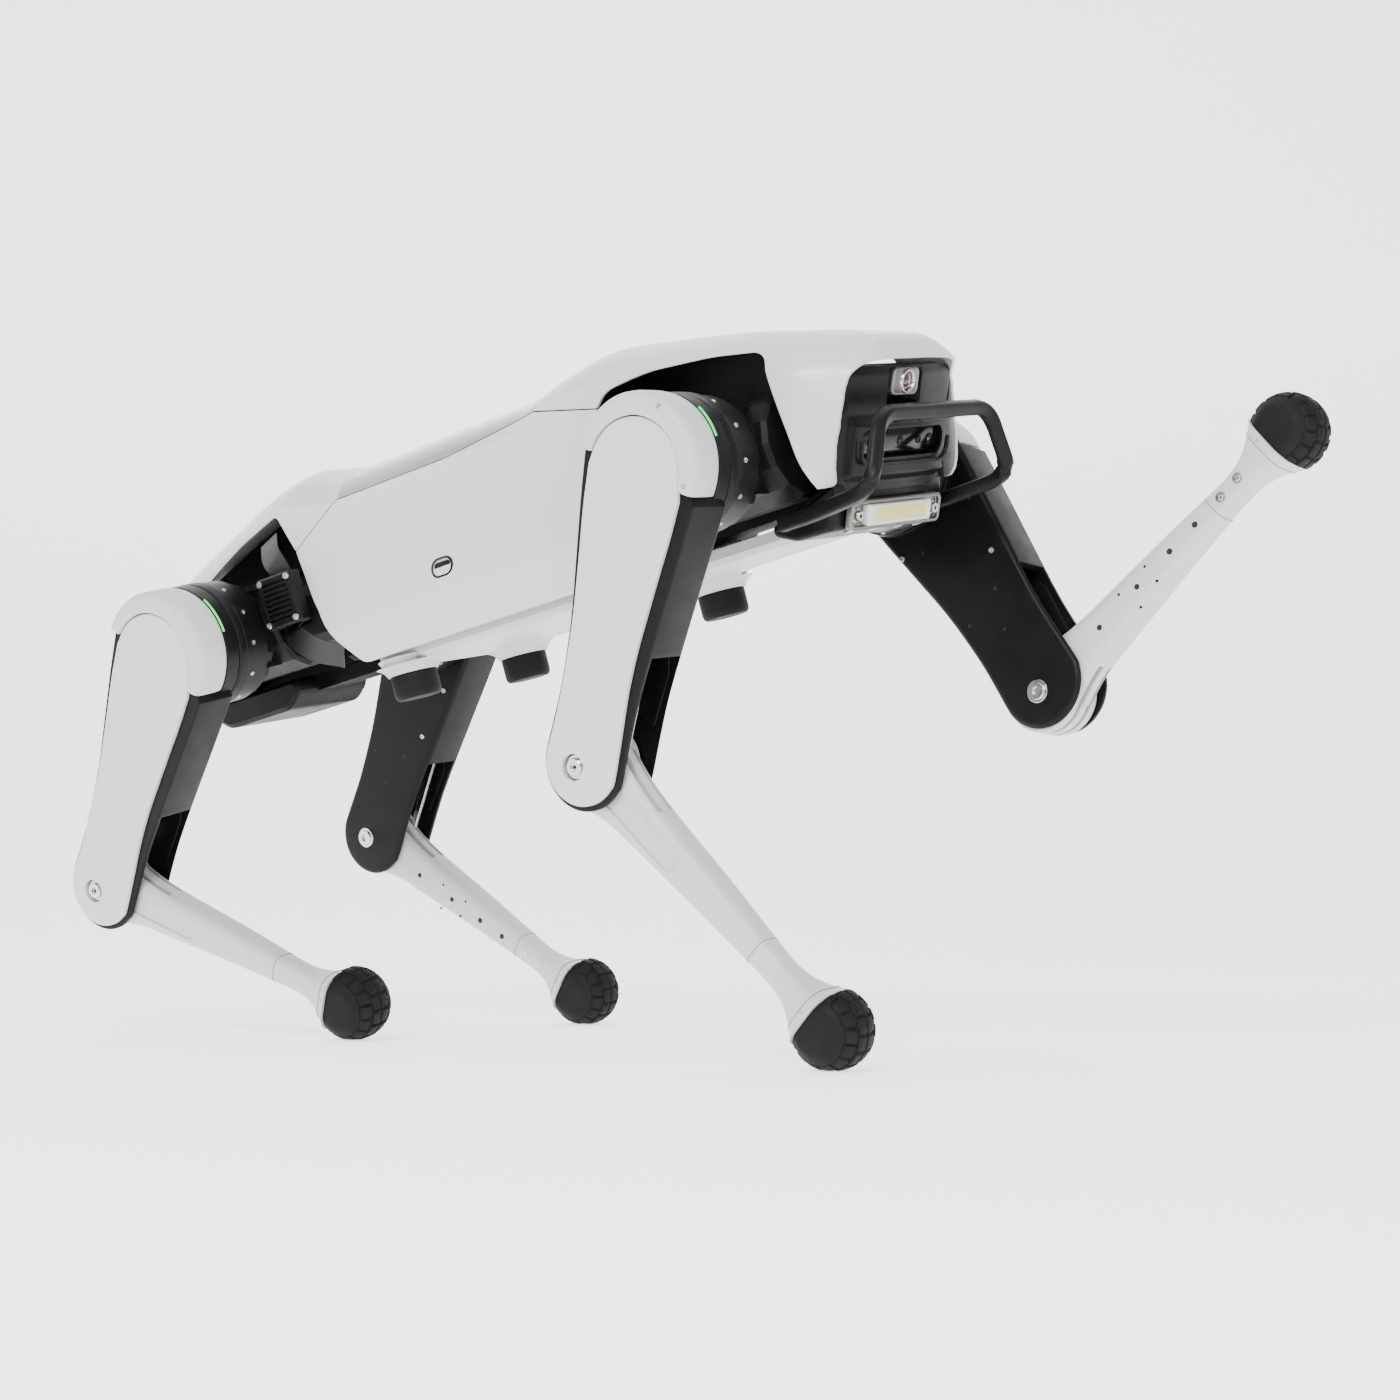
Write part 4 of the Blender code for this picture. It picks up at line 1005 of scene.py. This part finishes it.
def rubber_foot(leg):
    """The treaded ball, trimmed by the collar and pressed flat on the ground."""
    half = ((0.5, -21), (9, -21), (15, -20.6), (18.6, -18.6), (20.5, -17.0), (23.0, -13.8), (24.8, -10.5),
            (26.0, -6.6), (26.5, -3.5))
    profile = [tuple(p) for p in spline(list(half) + [(r, -y) for r, y in half[::-1]], 6)]
    count = 176
    rings = []
    for radius, y in profile:
        ring = []
        for k in range(count):
            a = 2 * math.pi * k / count
            r = max(radius * MM - tread(y * MM, a), 0.0002) * 0.985
            ring.append(Vector((r * math.cos(a), y * MM * 0.995, r * math.sin(a) - SHANK)))
        rings.append(ring)
    bm = rings_mesh(rings)
    bmesh.ops.bisect_plane(bm, geom=bm.verts[:] + bm.edges[:] + bm.faces[:], plane_co=(0, 0, -0.2309),
                           plane_no=(0, 0, 1), clear_outer=True)
    bmesh.ops.holes_fill(bm, edges=[e for e in bm.edges if e.is_boundary])
    to_world = SHANK_FRAME[leg]
    to_local = to_world.inverted()
    for vertex in bm.verts:
        point = to_world @ vertex.co
        if point.z < 0.0002:
            point.z = 0.0002
            vertex.co = to_local @ point
    add(f"rubber_foot_{leg}", bm, SHANK_FRAME[leg], "rubber", f"{LEGS[leg]}_shank", [f"foot_{leg}"],
        50)


def make_legs():
    for leg in LEGS:
        for build in (thigh_shell, thigh_ribs, thigh_cover, thigh_cap, hip_motor, knee_bolt, shank_shell,
                      shank_details, rubber_foot):
            build(leg)


# ---------------------------------------------------------------- carried-over nodes


def paint_nodes():
    """Gives every CAD node that stays in view its finish."""
    finishes = {"chassis": "tub", "belly_tray": "cast", "sensor_box": "tub", "fan_module": "motor"}
    for leg in LEGS:
        finishes[f"hip_bracket_{leg}"] = "tub"
        finishes[f"knee_crank_{leg}"] = "steel"
        finishes[f"pushrod_{leg}"] = "steel"
    for name, mat in finishes.items():
        mesh = NODES[name].data
        mesh.materials.clear()
        mesh.materials.append(MATS[mat])


# ---------------------------------------------------------------- stage


def backdrop():
    """A pale floor that curves up behind the object."""
    profile = [(2.2, 0.0), (-1.2, 0.0)]
    profile += [(-1.2 + 0.9 * math.sin(a) * -1, 0.9 - 0.9 * math.cos(a)) for a in
                (math.radians(90 * k / 16) for k in range(1, 17))]
    profile.append((-2.1, 3.2))
    bm = bmesh.new()
    rows = [[bm.verts.new((x, -u, z - 0.0002)) for x in (-5.0, 5.0)] for u, z in profile]
    for a, b in zip(rows, rows[1:]):
        bm.faces.new((a[0], a[1], b[1], b[0]))
    bmesh.ops.rotate(bm, cent=(0, 0, 0), matrix=Matrix.Rotation(math.radians(39), 3, "Z"), verts=bm.verts)
    mesh = bpy.data.meshes.new("backdrop")
    for face in bm.faces:
        face.smooth = True
    bmesh.ops.recalc_face_normals(bm, faces=bm.faces)
    bm.to_mesh(mesh)
    bm.free()
    pale = surface("studio_floor", (0.93, 0.93, 0.93), 0.75, grain=60, bump=0.01, mottle=0.004,
                   Emission_Color=(1, 1, 1, 1), Emission_Strength=1.35)
    mesh.materials.append(pale)
    floor = bpy.data.objects.new("backdrop", mesh)
    bpy.context.scene.collection.objects.link(floor)


def softbox(name, place, target, size, power):
    light = bpy.data.lights.new(name, "AREA")
    light.shape = "RECTANGLE"
    light.size, light.size_y = size
    light.energy = power
    obj = bpy.data.objects.new(name, light)
    obj.location = place
    obj.rotation_euler = (Vector(target) - Vector(place)).to_track_quat("-Z", "Y").to_euler()
    bpy.context.scene.collection.objects.link(obj)


def lights():
    world = bpy.data.worlds.new("studio")
    world.use_nodes = True
    sky = world.node_tree.nodes["Background"]
    sky.inputs["Color"].default_value = (1, 1, 1, 1)
    sky.inputs["Strength"].default_value = 0.38
    bpy.context.scene.world = world
    middle = (0, 0, 0.25)
    softbox("key", (0.9, -2.2, 1.7), middle, (1.2, 1.0), 84)
    softbox("top", (-0.2, 0.1, 2.4), middle, (2.4, 2.0), 30)
    softbox("front_fill", (2.4, -0.2, 0.9), middle, (1.2, 1.6), 24)
    softbox("rear_fill", (-1.9, -1.3, 1.1), middle, (1.2, 1.4), 16)


def camera():
    """Set up from the front right, a little below the hips, looking slightly up."""
    yaw, pitch, roll = math.radians(128.44), math.radians(3.06), 0.0054
    ahead = Vector((math.cos(pitch) * math.cos(yaw), math.cos(pitch) * math.sin(yaw), math.sin(pitch)))
    right = ahead.cross(Vector((0, 0, 1))).normalized()
    up = right.cross(ahead)
    turned_right = right * math.cos(roll) + up * math.sin(roll)
    turned_up = up * math.cos(roll) - right * math.sin(roll)
    data = bpy.data.cameras.new("camera")
    data.lens = 76.75
    data.sensor_width = 36
    obj = bpy.data.objects.new("camera", data)
    obj.matrix_world = from_axes(turned_right, turned_up, -ahead, Vector((1.31995, -1.6147, 0.129)))
    bpy.context.scene.collection.objects.link(obj)
    bpy.context.scene.camera = obj


MATS = make_materials()
camera()
lights()
backdrop()
shells()
side_details()
face_mask()
head_camera()
stereo_camera()
work_light()
bumper()
belly()
cooler()
make_legs()
paint_nodes()
